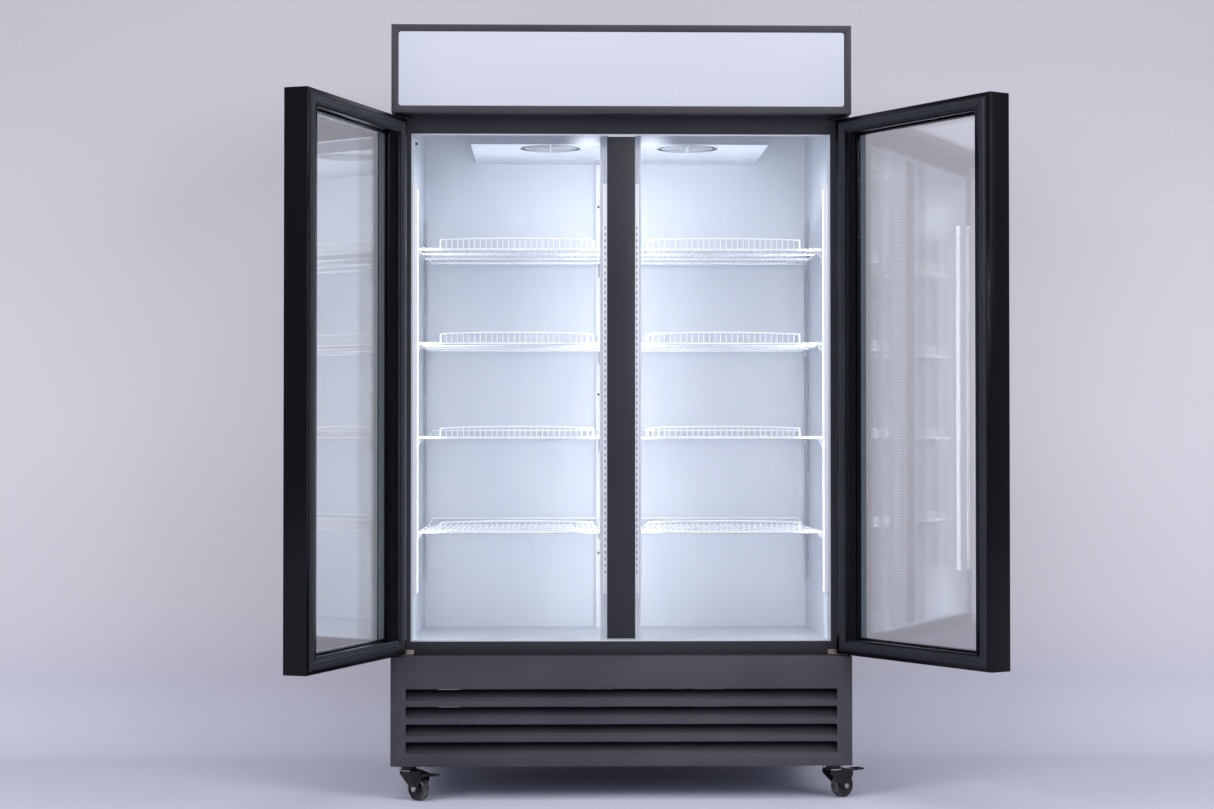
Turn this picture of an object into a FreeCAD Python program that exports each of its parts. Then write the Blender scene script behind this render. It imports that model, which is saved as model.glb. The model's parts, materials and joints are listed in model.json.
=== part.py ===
import FreeCAD
import Part
import math
import os

# Two-door upright glass merchandiser on castors.
# Millimetres. X runs to the right, the front faces -Y and Z is up.
# The origin lies on the floor, under the middle of the cabinet's footprint.

Vec = FreeCAD.Vector

# Cabinet, overall.
WIDTH = 1220.0
DEPTH = 710.0
HEIGHT = 2054.0
CASTOR_HEIGHT = 92.0
DOOR_SPACE = 64.0

# Heights along the front.
BASE_HEIGHT = 288.0
HEADER_HEIGHT = 235.0
SILL_Z = 415.5
OPENING_HEIGHT = 1357.0
FLOOR_DROP = 7.5
ROOF_STEP = 10.0
DECK_DROP = 50.0
CEILING_DROP = 54.0

# Walls.
SKIN = 1.0
LINER_T = 1.5
SIDE_WALL = 53.0
BACK_WALL = 52.0
LINER_LIP = 4.0
LINER_FLANGE = 17.0
FRAME_T = 3.0
PANEL_RETURN = 18.0
FOAM_GAP = 0.5

# Doors and their hinges.
DOOR_SIDE_GAP = 3.0
DOOR_MEETING_GAP = 4.0
DOOR_SILL_GAP = 5.0
DOOR_HEAD_GAP = 13.0
DOOR_PROUD = 5.0
DOOR_T = 62.0
STILE_FACE = 56.0
RAIL_FACE = 41.0
FRONT_LIP = 2.0
FRONT_COVER = 6.0
REBATE = 12.0
PANE_T = 4.0
SPACER_T = 16.0
SPACER_W = 11.0
GLASS_PLAY = 1.0
GASKET_T = 6.3
GASKET_W = 26.0
GASKET_INSET = 14.0
GRIP_LENGTH = 420.0
GRIP_WIDTH = 26.0
GRIP_DEPTH = 20.0
GRIP_EDGE = 12.0
HINGE_IN = 12.0
HINGE_BACK = 31.0
HINGE_PIN_R = 5.0
HINGE_PLATE_T = 4.0
LEFT_OPEN_DEG = 109.5
RIGHT_OPEN_DEG = 121.6
RUNNING = 0.05

# Header and its sign.
SHEET = 1.5
SIGN_BORDER = 19.0
SIGN_CORNER_R = 7.0
SIGN_T = 3.0
SIGN_PILLOW = 1.8
SIGN_PLAY = 0.5
SIGN_LAP = 9.0
SWITCH_UPPER_Z = 1901.5
SWITCH_LOWER_Z = 1862.0
SWITCH_BACK = 30.0
SWITCH_W = 13.0
SWITCH_H = 19.0
SWITCH_TILT = 7.0

# Louvred base panel.
SLOT_COUNT = 4
SLOT_H = 30.5
SLOT_PITCH_Z = 46.4
SLOT_SIDE = 40.0
SLOT_LOWEST = 34.0
BLADE_DEPTH = 26.0
BLADE_GAP = 4.0

# Mullion, uprights and lights.
MULLION_W = 75.0
MULLION_POST_DEPTH = 42.0
MULLION_END_GAP = 7.5
UPRIGHT_W = 24.0
UPRIGHT_T = 12.0
UPRIGHT_X = 43.5
SIDE_UPRIGHT_W = 22.0
SIDE_UPRIGHT_T = 6.0
REAR_COLUMN_W = 116.0
REAR_COLUMN_T = 14.0
CLIP_SLOT_W = 3.0
CLIP_SLOT_H = 9.0
CLIP_PITCH = 23.2
LED_Z0 = 542.0
LED_LENGTH = 1098.0
LED_W = 20.0
LED_T = 12.0
LED_BACK = 10.0
LED_BOARD_T = 1.6

# Wire shelves.
SHELF_LEVELS = 4
SHELF_LOWEST = 703.5
SHELF_STEPS = 11
SHELF_FRONT = 86.0
SHELF_BACK_GAP = 24.0
SHELF_UPRIGHT_GAP = 0.5
SHELF_MID_GAP = 9.5
BAR_R = 3.0
SIDE_BAR_R = 2.6
WIRE_R = 1.5
RAIL_R = 2.4
WIRE_PITCH = 15.3
FENCE_H = 26.0
FENCE_RISE = 4.0
FENCE_INSET = 50.0
STOP_H = 22.0
SINK = 0.6
CLIP_T = 2.0
CLIP_REACH = 15.0
CLIP_DROP = 36.0
CLIP_W = 18.0

# Evaporator housing under the ceiling.
DUCT_HALF = 408.0
DUCT_FRONT = 140.0
DUCT_BOTTOM_Z = 1762.0
DUCT_TAPER = 60.0
EVAP_FAN_X = 190.0
EVAP_FAN_BACK = 235.0
EVAP_FAN_R = 78.0
FAN_TIP_GAP = 7.0
GUARD_PITCH = 10.0
GUARD_WIRE = 2.4
GUARD_T = 4.0
INLET_COLUMNS = 6
INLET_ROWS = 9
INLET_PITCH = 8.0
INLET_W = 3.0
COIL_W = 640.0
COIL_D = 130.0
COIL_H = 110.0

# Condensing unit in the base.
CONDENSER_W = 340.0
CONDENSER_H = 215.0
CONDENSER_D = 66.0
CONDENSER_X = -260.0
CONDENSER_BACK = 60.0
COND_FAN_R = 92.0
COMPRESSOR_R = 88.0
COMPRESSOR_H = 175.0
COMPRESSOR_X = 70.0
COMPRESSOR_Y = 90.0
PAN_W = 420.0
PAN_D = 190.0
PAN_H = 32.0
BOX_W = 170.0
BOX_D = 110.0
BOX_H = 150.0
GLAND_X = 430.0
GLAND_Z = 190.0
GLAND_R = 11.0
CORD_HOLE_R = 5.0

# Castors.
WHEEL_R = 31.0
WHEEL_W = 27.0
TRAIL = 34.0
PLATE_SIDE = 66.0
PLATE_T = 2.5
BOLT_SPACING = 46.0
BOLT_R = 5.0
KINGPIN_R = 6.0
AXLE_R = 4.0
EAR_T = 2.5
CASTOR_IN = 48.0
CASTOR_BACK = 48.0
CASTOR_REAR = 76.0
PEDAL_PIVOT_X = 50.0
PEDAL_PIVOT_Z = 66.0
PEDAL_REACH = 100.0
CASTOR_TURN = {"fl": -42.0, "fr": 33.0, "rl": 75.0, "rr": 110.0}

# Worked out from the sizes above.
HALF = WIDTH / 2
FACE_Y = -DEPTH / 2
BODY_Y = FACE_Y + DOOR_SPACE
BACK_Y = DEPTH / 2
BASE_Z = CASTOR_HEIGHT
BASE_TOP = BASE_Z + BASE_HEIGHT
HEADER_Z = HEIGHT - HEADER_HEIGHT
ROOF_Z = HEIGHT - ROOF_STEP
HEAD_Z = SILL_Z + OPENING_HEIGHT
IN_X = HALF - SIDE_WALL
IN_BACK = BACK_Y - BACK_WALL
IN_FLOOR = SILL_Z - FLOOR_DROP
IN_CEILING = ROOF_Z - CEILING_DROP
DECK_Z = SILL_Z - DECK_DROP
OPEN_X = IN_X + LINER_LIP
FRAME_BACK = BODY_Y + FRAME_T
DOOR_W = (WIDTH - 2 * DOOR_SIDE_GAP - DOOR_MEETING_GAP) / 2
DOOR_Z0 = BASE_TOP + DOOR_SILL_GAP
DOOR_Z1 = HEADER_Z - DOOR_HEAD_GAP
DOOR_X0 = -HALF + DOOR_SIDE_GAP
DOOR_X1 = DOOR_X0 + DOOR_W
DOOR_Y0 = FACE_Y - DOOR_PROUD
DOOR_Y1 = DOOR_Y0 + DOOR_T
HINGE_X = -HALF + HINGE_IN
HINGE_Y = FACE_Y + HINGE_BACK
SHELF_PITCH = SHELF_STEPS * CLIP_PITCH
SHELF_Y0 = BODY_Y + SHELF_FRONT
SHELF_Y1 = IN_BACK - SHELF_BACK_GAP
SHELF_X0 = -IN_X + SIDE_UPRIGHT_T + SHELF_UPRIGHT_GAP
SHELF_X1 = -SHELF_MID_GAP
SHELF_LINES = [SHELF_LOWEST + i * SHELF_PITCH for i in range(SHELF_LEVELS)]
GLASS_Y0 = DOOR_Y0 + FRONT_LIP
GLASS_Y1 = GLASS_Y0 + 2 * PANE_T + SPACER_T
CONDENSER_Y = BODY_Y + CONDENSER_BACK


def box(x0, x1, y0, y1, z0, z1):
    return Part.makeBox(x1 - x0, y1 - y0, z1 - z0, Vec(x0, y0, z0))


def rod(radius, start, end):
    run = end - start
    return Part.makeCylinder(radius, run.Length, start, run)


def prism(points, along):
    """Straight-sided solid: a closed outline of points pushed along a vector."""
    wire = Part.makePolygon(points + [points[0]])
    return Part.Face(wire).extrude(along)


def join(shapes):
    first = shapes[0]
    return first.multiFuse(shapes[1:]).removeSplitter() if len(shapes) > 1 else first


def group(shapes):
    return Part.makeCompound(shapes)


def mirrored(shape):
    return shape.mirror(Vec(0, 0, 0), Vec(1, 0, 0))


def turned(shape, degrees, x, y):
    copy = shape.copy()
    copy.rotate(Vec(x, y, 0), Vec(0, 0, 1), degrees)
    return copy


def moved(shape, x, y, z):
    copy = shape.copy()
    copy.translate(Vec(x, y, z))
    return copy


def ring(x0, x1, z0, z1, side, rail, y0, y1):
    """Upright rectangular frame with members side wide and rail high, from y0 to y1."""
    outer = box(x0, x1, y0, y1, z0, z1)
    inner = box(x0 + side, x1 - side, y0 - 1, y1 + 1, z0 + rail, z1 - rail)
    return outer.cut(inner)


def rounded_upright(x0, x1, z0, z1, y0, y1, radius):
    """Upright slab whose four long corners, seen from the front, are rounded."""
    slab = box(x0, x1, y0, y1, z0, z1)
    edges = [e for e in slab.Edges if abs(e.Vertexes[0].Y - e.Vertexes[1].Y) > 0.1]
    return slab.makeFillet(radius, edges)


def hex_prism(radius, height, x, y, z):
    corners = [math.radians(60 * i) for i in range(6)]
    points = [Vec(x + radius * math.cos(a), y + radius * math.sin(a), z) for a in corners]
    return prism(points, Vec(0, 0, height))


def fan(radius, hub_r, depth, blades, centre, axis):
    """Axial fan: a domed hub with pitched blades round it, spinning about its own Z first."""
    hub = Part.makeCylinder(hub_r, depth)
    hub = hub.makeFillet(depth / 5, [hub.Edges[0]])
    thickness = 1.6
    wheel = [hub]
    for i in range(blades):
        blade = box(hub_r - 2, radius, -depth * 0.85, depth * 0.85, -thickness / 2, thickness / 2)
        blade.rotate(Vec(0, 0, 0), Vec(1, 0, 0), 28)
        blade.translate(Vec(0, 0, depth / 2))
        blade.rotate(Vec(0, 0, 0), Vec(0, 0, 1), 360.0 * i / blades)
        wheel.append(blade)
    rotor = join(wheel)
    rotor = rotor.common(Part.makeCylinder(radius, depth * 2, Vec(0, 0, -depth / 2)))
    rotor.Placement = FreeCAD.Placement(centre, FreeCAD.Rotation(Vec(0, 0, 1), axis))
    return rotor


def side_panel():
    """Outer side sheet with a folded return along its front and back edges."""
    x0 = -HALF
    sheet = box(x0, x0 + SKIN, FRAME_BACK, BACK_Y - SKIN, BASE_Z, ROOF_Z)
    front = box(x0, x0 + PANEL_RETURN, FRAME_BACK, FRAME_BACK + SKIN, DECK_Z, ROOF_Z)
    foot = box(x0, x0 + PANEL_RETURN, FRAME_BACK, FRAME_BACK + SKIN, BASE_Z + SHEET * 2, DECK_Z)
    return join([sheet, front, foot])


def back_panel():
    """Rear sheet: plain over the insulation, with rows of vent slots over the compressor bay."""
    sheet = box(-HALF, HALF, BACK_Y - SKIN, BACK_Y, BASE_Z, ROOF_Z)
    slot_w, slot_h, pitch_x, pitch_z = 90.0, 7.0, 125.0, 24.0
    columns = int((WIDTH - 340) // pitch_x)
    rows = int((DECK_Z - BASE_Z - 90) // pitch_z)
    cuts = []
    for c in range(columns):
        x = -HALF + 90 + c * pitch_x
        for r in range(rows):
            z = BASE_Z + 50 + r * pitch_z
            cuts.append(box(x, x + slot_w, BACK_Y - SKIN - 1, BACK_Y + 1, z, z + slot_h))
    cuts.append(rod(GLAND_R, Vec(GLAND_X, BACK_Y - 10, GLAND_Z), Vec(GLAND_X, BACK_Y + 10, GLAND_Z)))
    return sheet.cut(group(cuts))


def roof_panel():
    return box(-HALF + SKIN, HALF - SKIN, FRAME_BACK + SKIN, BACK_Y - SKIN, ROOF_Z - SKIN, ROOF_Z)


def base_tray():
    """Chassis tray with upturned lips, and the deck sheet that closes the bay's top."""
    x = HALF - SHEET - 0.5
    y0 = FACE_Y + SHEET + 0.3
    y1 = BACK_Y - SKIN - 0.5
    lip, t = 24.0, 2.0
    floor = box(-x, x, y0, y1, BASE_Z, BASE_Z + t)
    front = box(-x, x, y0, y0 + t, BASE_Z, BASE_Z + lip)
    back = box(-x, x, y1 - t, y1, BASE_Z, BASE_Z + lip)
    deck_x = HALF - SKIN
    deck = box(-deck_x, deck_x, FRAME_BACK + SKIN, BACK_Y - SKIN, DECK_Z, DECK_Z + SKIN)
    return group([join([floor, front, back]), deck])


def foam_insulation():
    """Five slabs between the liner and the outer skins."""
    x_out = HALF - SKIN
    x_in = IN_X + LINER_T
    y0 = FRAME_BACK + LINER_T + FOAM_GAP
    y1 = BACK_Y - SKIN
    y_in = IN_BACK + LINER_T
    z0 = DECK_Z + SKIN
    z1 = ROOF_Z - SKIN
    left = box(-x_out, -x_in, y0, y1, z0, z1)
    right = box(x_in, x_out, y0, y1, z0, z1)
    back = box(-x_in, x_in, y_in, y1, z0, z1)
    top = box(-x_in, x_in, y0, y_in, IN_CEILING + LINER_T, z1)
    bottom = box(-x_in, x_in, y0, y_in, z0, IN_FLOOR - LINER_T)
    return group([left, right, back, top, bottom])


def inner_liner():
    """White lining of the cold space, open at the doors, with a flange behind the front frame."""
    x = IN_X + LINER_T
    shell = box(-x, x, FRAME_BACK, IN_BACK + LINER_T, IN_FLOOR - LINER_T, IN_CEILING + LINER_T)
    flange_x = IN_X + LINER_FLANGE
    flange = box(-flange_x, flange_x, FRAME_BACK, FRAME_BACK + LINER_T,
                 IN_FLOOR - LINER_T, IN_CEILING + LINER_T)
    hollow = box(-IN_X, IN_X, FRAME_BACK + LINER_T, IN_BACK, IN_FLOOR, IN_CEILING)
    mouth = box(-IN_X, IN_X, FRAME_BACK - 1, FRAME_BACK + LINER_T + 1,
                SILL_Z + LINER_LIP, HEAD_Z - LINER_LIP)
    return join([shell, flange]).cut(group([hollow, mouth]))


def front_frame():
    """Black face of the cabinet round the opening; the doors' gaskets close on it."""
    plate = box(-HALF, HALF, BODY_Y, FRAME_BACK, DECK_Z, ROOF_Z)
    return plate.cut(box(-OPEN_X, OPEN_X, BODY_Y - 1, FRAME_BACK + 1, SILL_Z, HEAD_Z))


def mullion_post():
    """White centre post behind the meeting doors, fixed to the liner at sill and head."""
    x = MULLION_W / 2 - 1
    y0 = BODY_Y + FRAME_T + LINER_T + 0.3
    post = box(-x, x, y0, y0 + MULLION_POST_DEPTH, IN_FLOOR, IN_CEILING)
    nose = box(-x, x, BODY_Y + SHEET, y0, SILL_Z + LINER_LIP + 0.3, HEAD_Z - LINER_LIP - 0.3)
    return join([post, nose])


def mullion_cover():
    """Black steel strip on the post's face that holds the magnetic gaskets."""
    x = MULLION_W / 2
    z0 = SILL_Z + MULLION_END_GAP
    z1 = HEAD_Z - MULLION_END_GAP
    return box(-x, x, BODY_Y, BODY_Y + SHEET, z0, z1)


def led_places():
    """Left half of the light channels: one on the side wall, one behind the centre post."""
    y0 = FRAME_BACK + LINER_T + LED_BACK
    wall = (-IN_X, -IN_X + LED_T, y0, y0 + LED_W)
    x = MULLION_W / 2 - 1
    centre = (-x - LED_T, -x, y0 + 2, y0 + 2 + LED_W)
    return [wall, centre]


def led_channels():
    """White plastic channels that carry the light boards; the board sits in a groove."""
    shapes = []
    for place in led_places():
        x0, x1, y0, y1 = place
        channel = box(x0, x1, y0, y1, LED_Z0, LED_Z0 + LED_LENGTH)
        shapes.append(channel.cut(led_board_box(place, RUNNING * 4)))
    return group(shapes + [mirrored(s) for s in shapes])


def led_board_box(place, play):
    """Room for a board in the channel face that looks into the left cold space."""
    x0, x1, y0, y1 = place
    edge, margin = 4.0, 2.5
    inward = x1 if x0 == -IN_X else x0 + LED_BOARD_T
    return box(inward - LED_BOARD_T - play, inward + play, y0 + margin - play, y1 - margin + play,
               LED_Z0 + edge - play, LED_Z0 + LED_LENGTH - edge + play)


def led_boards():
    shapes = [led_board_box(place, 0.0) for place in led_places()]
    return group(shapes + [mirrored(s) for s in shapes] + header_light_bars())


def slotted(upright, x, y, along, z0, z1):
    """Upright with a column of clip slots cut through the face that looks along the vector."""
    cuts = []
    count = int((z1 - z0 - 2 * CLIP_PITCH) // CLIP_PITCH)
    start = SHELF_LOWEST - CLIP_PITCH * int((SHELF_LOWEST - z0 - CLIP_PITCH) // CLIP_PITCH)
    depth = 3.0
    for i in range(count):
        z = start + i * CLIP_PITCH - CLIP_SLOT_H / 2
        if along.x:
            x_hi = x + depth if along.x > 0 else x
            x_lo = x if along.x > 0 else x - depth
            cuts.append(box(x_lo, x_hi, y - CLIP_SLOT_W / 2, y + CLIP_SLOT_W / 2, z, z + CLIP_SLOT_H))
        else:
            cuts.append(box(x - CLIP_SLOT_W / 2, x + CLIP_SLOT_W / 2, y, y + depth, z, z + CLIP_SLOT_H))
    return upright.cut(group(cuts))


def upright_rows():
    """Front and rear lines in Y where the shelf corners are carried."""
    front = SHELF_Y0 + 14.0
    rear = SHELF_Y1 - 70.0
    return front, rear


def shelf_uprights():
    """Slotted uprights: side walls front and rear, two at the centre front, one wide rear column."""
    front, rear = upright_rows()
    z0, z1 = LED_Z0 + 15, SHELF_LINES[-1] + 5 * CLIP_PITCH
    wide = SIDE_UPRIGHT_W / 2
    face = -IN_X + SIDE_UPRIGHT_T
    shapes = []
    for y in (front, rear):
        bar = box(-IN_X, face, y - wide, y + wide, z0, z1)
        shapes.append(slotted(bar, face - 3.0, y, Vec(1, 0, 0), z0, z1))
    y = SHELF_Y0 - BAR_R - 4.0 - UPRIGHT_T
    centre = box(-UPRIGHT_X - UPRIGHT_W / 2, -UPRIGHT_X + UPRIGHT_W / 2, y, y + UPRIGHT_T,
                 IN_FLOOR, DUCT_BOTTOM_Z + 60)
    shapes.append(slotted(centre, -UPRIGHT_X, y, Vec(0, 1, 0), IN_FLOOR + 60, DUCT_BOTTOM_Z))
    column = box(-REAR_COLUMN_W / 2, REAR_COLUMN_W / 2, IN_BACK - REAR_COLUMN_T, IN_BACK,
                 IN_FLOOR, DUCT_BOTTOM_Z - 2)
    return group(shapes + [mirrored(s) for s in shapes] + [column])


def clip_shape(x, y, z, reach):
    """Folded steel clip: a tongue under the shelf and a tapered leg below it, facing +X."""
    tongue = box(x, x + reach, y - CLIP_W / 2, y + CLIP_W / 2, z - CLIP_T, z)
    leg = prism([Vec(x, y - CLIP_W / 2, z - CLIP_T), Vec(x, y + CLIP_W / 2, z - CLIP_T),
                 Vec(x, y + CLIP_W / 4, z - CLIP_DROP), Vec(x, y - CLIP_W / 4, z - CLIP_DROP)],
                Vec(CLIP_T, 0, 0))
    gusset = prism([Vec(x, y - CLIP_T / 2, z - CLIP_T), Vec(x + reach, y - CLIP_T / 2, z - CLIP_T),
                    Vec(x, y - CLIP_T / 2, z - CLIP_DROP * 0.7)], Vec(0, CLIP_T, 0))
    return join([tongue, leg, gusset])


def shelf_clips():
    """Four clips to each shelf: two on the side wall's uprights, two towards the centre."""
    front, rear = upright_rows()
    shapes = []
    under = BAR_R + 0.2
    for line in SHELF_LINES:
        z = line - under
        for y in (front, rear):
            shapes.append(clip_shape(-IN_X + SIDE_UPRIGHT_T, y, z, CLIP_REACH))
        centre_front = box(-UPRIGHT_X - 8, -UPRIGHT_X + 8, SHELF_Y0 - BAR_R - 4.0,
                           SHELF_Y0 + 12, z - CLIP_T, z)
        hook = box(-UPRIGHT_X - 8, -UPRIGHT_X + 8, SHELF_Y0 - BAR_R - 4.0,
                   SHELF_Y0 - BAR_R - 4.0 + CLIP_T, z - CLIP_DROP, z)
        shapes.append(join([centre_front, hook]))
        rear_y = IN_BACK - REAR_COLUMN_T
        rear_tongue = box(-UPRIGHT_X - 8, -UPRIGHT_X + 8, SHELF_Y1 - 12, rear_y, z - CLIP_T, z)
        rear_leg = box(-UPRIGHT_X - 8, -UPRIGHT_X + 8, rear_y - CLIP_T, rear_y, z - CLIP_DROP, z)
        shapes.append(join([rear_tongue, rear_leg]))
    return group(shapes + [mirrored(s) for s in shapes])


def wire(radius, start, end):
    """Straight wire of eight flats, whose width across flats is the wire's diameter."""
    run = end - start
    along = Vec(run).normalize()
    side = Vec(0, 1, 0) if abs(along.y) < 0.5 else Vec(1, 0, 0)
    side = (side - along * side.dot(along)).normalize()
    up = along.cross(side)
    reach = radius / math.cos(math.pi / 8)
    angles = [math.pi / 8 + i * math.pi / 4 for i in range(8)]
    points = [start + side * (reach * math.cos(a)) + up * (reach * math.sin(a)) for a in angles]
    return prism(points, run)


def wire_shelf():
    """Left-hand shelf at height zero: welded bars and wires, front fence and raised rear stop."""
    x0, x1 = SHELF_X0 + BAR_R, SHELF_X1 - BAR_R
    y0, y1 = SHELF_Y0, SHELF_Y1
    wires = []
    for share in (0.0, 1.0 / 3, 2.0 / 3, 1.0):
        y = y0 + (y1 - y0) * share
        wires.append(wire(BAR_R, Vec(x0 - BAR_R, y, 0), Vec(x1 + BAR_R, y, 0)))
    for x in (x0, x1):
        wires.append(wire(SIDE_BAR_R, Vec(x, y0, 0), Vec(x, y1, 0)))
    wire_z = BAR_R + WIRE_R - SINK
    span = x1 - x0 - 2 * WIRE_PITCH * 0.6
    count = int(span // WIRE_PITCH) + 1
    first = (x0 + x1) / 2 - (count - 1) * WIRE_PITCH / 2
    for i in range(count):
        x = first + i * WIRE_PITCH
        wires.append(wire(WIRE_R, Vec(x, y0 - BAR_R + SINK * 1.3, wire_z), Vec(x, y1 + BAR_R / 2, wire_z)))
    wires += fence(x0, x1, y0, first, count)
    wires += rear_stop(x0, x1, y1)
    return join(wires)


def fence(x0, x1, y0, first, count):
    """Low railing along the front bar: an upright on each wire and a rail that arches a little."""
    lines = [first + i * WIRE_PITCH for i in range(count)]
    inside = [x for x in lines if x0 + FENCE_INSET < x < x1 - FENCE_INSET]
    middle = (inside[0] + inside[-1]) / 2
    half = (inside[-1] - inside[0]) / 2
    y = y0 - BAR_R - WIRE_R + SINK

    def top(x):
        return FENCE_H + FENCE_RISE * (1 - ((x - middle) / half) ** 2)

    posts = [wire(WIRE_R, Vec(x, y, -BAR_R + SINK), Vec(x, y, top(x))) for x in inside]
    bends = [inside[0] - RAIL_R] + inside[2:-2:4] + [inside[-1] + RAIL_R]
    upper = [Vec(x, y - RAIL_R, top(x) + RAIL_R) for x in bends]
    lower = [Vec(x, y - RAIL_R, top(x) - RAIL_R) for x in reversed(bends)]
    return posts + [prism(upper + lower, Vec(0, 2 * RAIL_R, 0))]


def rear_stop(x0, x1, y1):
    """Single raised wire along the back that keeps goods off the wall."""
    lead, radius = 18.0, WIRE_R * 1.3
    y = y1 + SINK
    up = wire(radius, Vec(x0, y, 0), Vec(x0 + lead, y, STOP_H))
    along = wire(radius, Vec(x0 + lead - radius, y, STOP_H), Vec(x1 - lead + radius, y, STOP_H))
    down = wire(radius, Vec(x1 - lead, y, STOP_H), Vec(x1, y, 0))
    return [up, along, down]


def air_duct_cover():
    """Hollow housing under the ceiling: two guarded outlets, rows of inlet slots, two motors."""
    top = IN_CEILING - 0.3
    y0 = BODY_Y + DUCT_FRONT
    y1 = IN_BACK - 0.3
    height = top - DUCT_BOTTOM_Z

    def wedge(inset, low, high):
        half_low = DUCT_HALF - inset
        half_high = DUCT_HALF + DUCT_TAPER - inset
        z0, z1 = DUCT_BOTTOM_Z + low, DUCT_BOTTOM_Z + high
        points = [Vec(-half_low, y0 + inset, z0), Vec(half_low, y0 + inset, z0),
                  Vec(half_high, y0 + inset, z1), Vec(-half_high, y0 + inset, z1)]
        return prism(points, Vec(0, y1 - y0 - inset, 0))

    shell = wedge(0, 0, height).cut(wedge(SHEET, SHEET, height + 1))
    cuts = []
    for x in (-EVAP_FAN_X, EVAP_FAN_X):
        centre = Vec(x, BODY_Y + EVAP_FAN_BACK, DUCT_BOTTOM_Z - 5)
        cuts.append(Part.makeCylinder(EVAP_FAN_R + FAN_TIP_GAP, 20, centre))
    run = DUCT_HALF - 60
    length = 2 * run / INLET_COLUMNS - 2 * INLET_PITCH
    for i in range(INLET_COLUMNS):
        x = -run + (i + 0.5) * 2 * run / INLET_COLUMNS - length / 2
        for j in range(INLET_ROWS):
            y = y1 - 40 - j * INLET_PITCH
            cuts.append(box(x, x + length, y - INLET_W, y, DUCT_BOTTOM_Z - 2, DUCT_BOTTOM_Z + 5))
    shell = shell.cut(group(cuts))
    outlets = [join([shell] + [fan_guard(x) for x in (-EVAP_FAN_X, EVAP_FAN_X)])]
    motors = [fan_motor(x) for x in (-EVAP_FAN_X, EVAP_FAN_X)]
    return group(outlets + motors)


def fan_guard(x):
    """Moulded finger guard across an outlet: close rings on a cross of four spokes."""
    y = BODY_Y + EVAP_FAN_BACK
    spoke = EVAP_FAN_R + FAN_TIP_GAP + SHEET
    parts = [box(x - spoke, x + spoke, y - 1.5, y + 1.5, DUCT_BOTTOM_Z, DUCT_BOTTOM_Z + GUARD_T),
             box(x - 1.5, x + 1.5, y - spoke, y + spoke, DUCT_BOTTOM_Z, DUCT_BOTTOM_Z + GUARD_T)]
    foot = Vec(x, y, DUCT_BOTTOM_Z)
    for i in range(int(EVAP_FAN_R // GUARD_PITCH)):
        outer = (i + 1) * GUARD_PITCH
        ring_part = Part.makeCylinder(outer, GUARD_T, foot)
        parts.append(ring_part.cut(Part.makeCylinder(outer - GUARD_WIRE, GUARD_T, foot)))
    return join(parts)


def fan_motor(x):
    """Small motor over an outlet, carried by two straps that stand on the housing's floor."""
    y = BODY_Y + EVAP_FAN_BACK
    z = DUCT_BOTTOM_Z + SHEET
    rise, arm_w = 42.0, 14.0
    reach = EVAP_FAN_R + FAN_TIP_GAP + 12
    can = Part.makeCylinder(27, 44, Vec(x, y, z + rise))
    strap = box(x - reach, x + reach, y - arm_w / 2, y + arm_w / 2, z + rise - 2, z + rise)
    legs = [box(x + s * reach - 1, x + s * reach + 1, y - arm_w / 2, y + arm_w / 2, z, z + rise)
            for s in (-1, 1)]
    return join([can, strap] + legs)


def evaporator_fan(x):
    y = BODY_Y + EVAP_FAN_BACK
    return fan(EVAP_FAN_R, 22, 18, 5, Vec(x, y, DUCT_BOTTOM_Z + 14), Vec(0, 0, 1))


def evaporator_coil():
    """Finned block on the housing's floor behind the fans, with its return bends at each end."""
    y0 = BODY_Y + EVAP_FAN_BACK + EVAP_FAN_R + 45
    z0 = DUCT_BOTTOM_Z + 40
    block = box(-COIL_W / 2, COIL_W / 2, y0, y0 + COIL_D, z0, z0 + COIL_H)
    feet = [box(s * COIL_W / 2 - 4, s * COIL_W / 2 + 4, y0, y0 + COIL_D, DUCT_BOTTOM_Z + SHEET, z0)
            for s in (-1, 1)]
    bends = []
    for s in (-1, 1):
        for row in range(4):
            for col in range(2):
                y = y0 + 28 + col * 62
                z = z0 + 16 + row * 26
                ends = (Vec(s * COIL_W / 2, y, z), Vec(s * COIL_W / 2, y + 22, z))
                tips = [e + Vec(s * 14, 0, 0) for e in ends]
                bends.append(rod(4.5, ends[0], tips[0]))
                bends.append(rod(4.5, ends[1], tips[1]))
                bends.append(rod(5.4, tips[0] - Vec(0, 6.5, 0), tips[1] + Vec(0, 6.5, 0)))
    return join([block] + feet + bends)


def header_box():
    """Sheet-metal light box above the doors, with a rounded window for the sign."""
    y1 = BODY_Y
    outer = box(-HALF, HALF, FACE_Y, y1, HEADER_Z, HEIGHT)
    inner = box(-HALF + SHEET, HALF - SHEET, FACE_Y + SHEET, y1 - SHEET, HEADER_Z + SHEET,
                HEIGHT - SHEET)
    window = rounded_upright(-HALF + SIGN_BORDER, HALF - SIGN_BORDER, HEADER_Z + SIGN_BORDER,
                             HEIGHT - SIGN_BORDER, FACE_Y - 5, FACE_Y + SHEET + 1, SIGN_CORNER_R)
    cuts = [inner, window]
    play = 1.2
    for z in (SWITCH_UPPER_Z, SWITCH_LOWER_Z):
        y = FACE_Y + SWITCH_BACK
        cuts.append(box(HALF - SHEET - 1, HALF + 1, y - SWITCH_W / 2 - play, y + SWITCH_W / 2 + play,
                        z - SWITCH_H / 2 - play, z + SWITCH_H / 2 + play))
    return outer.cut(group(cuts))


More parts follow.
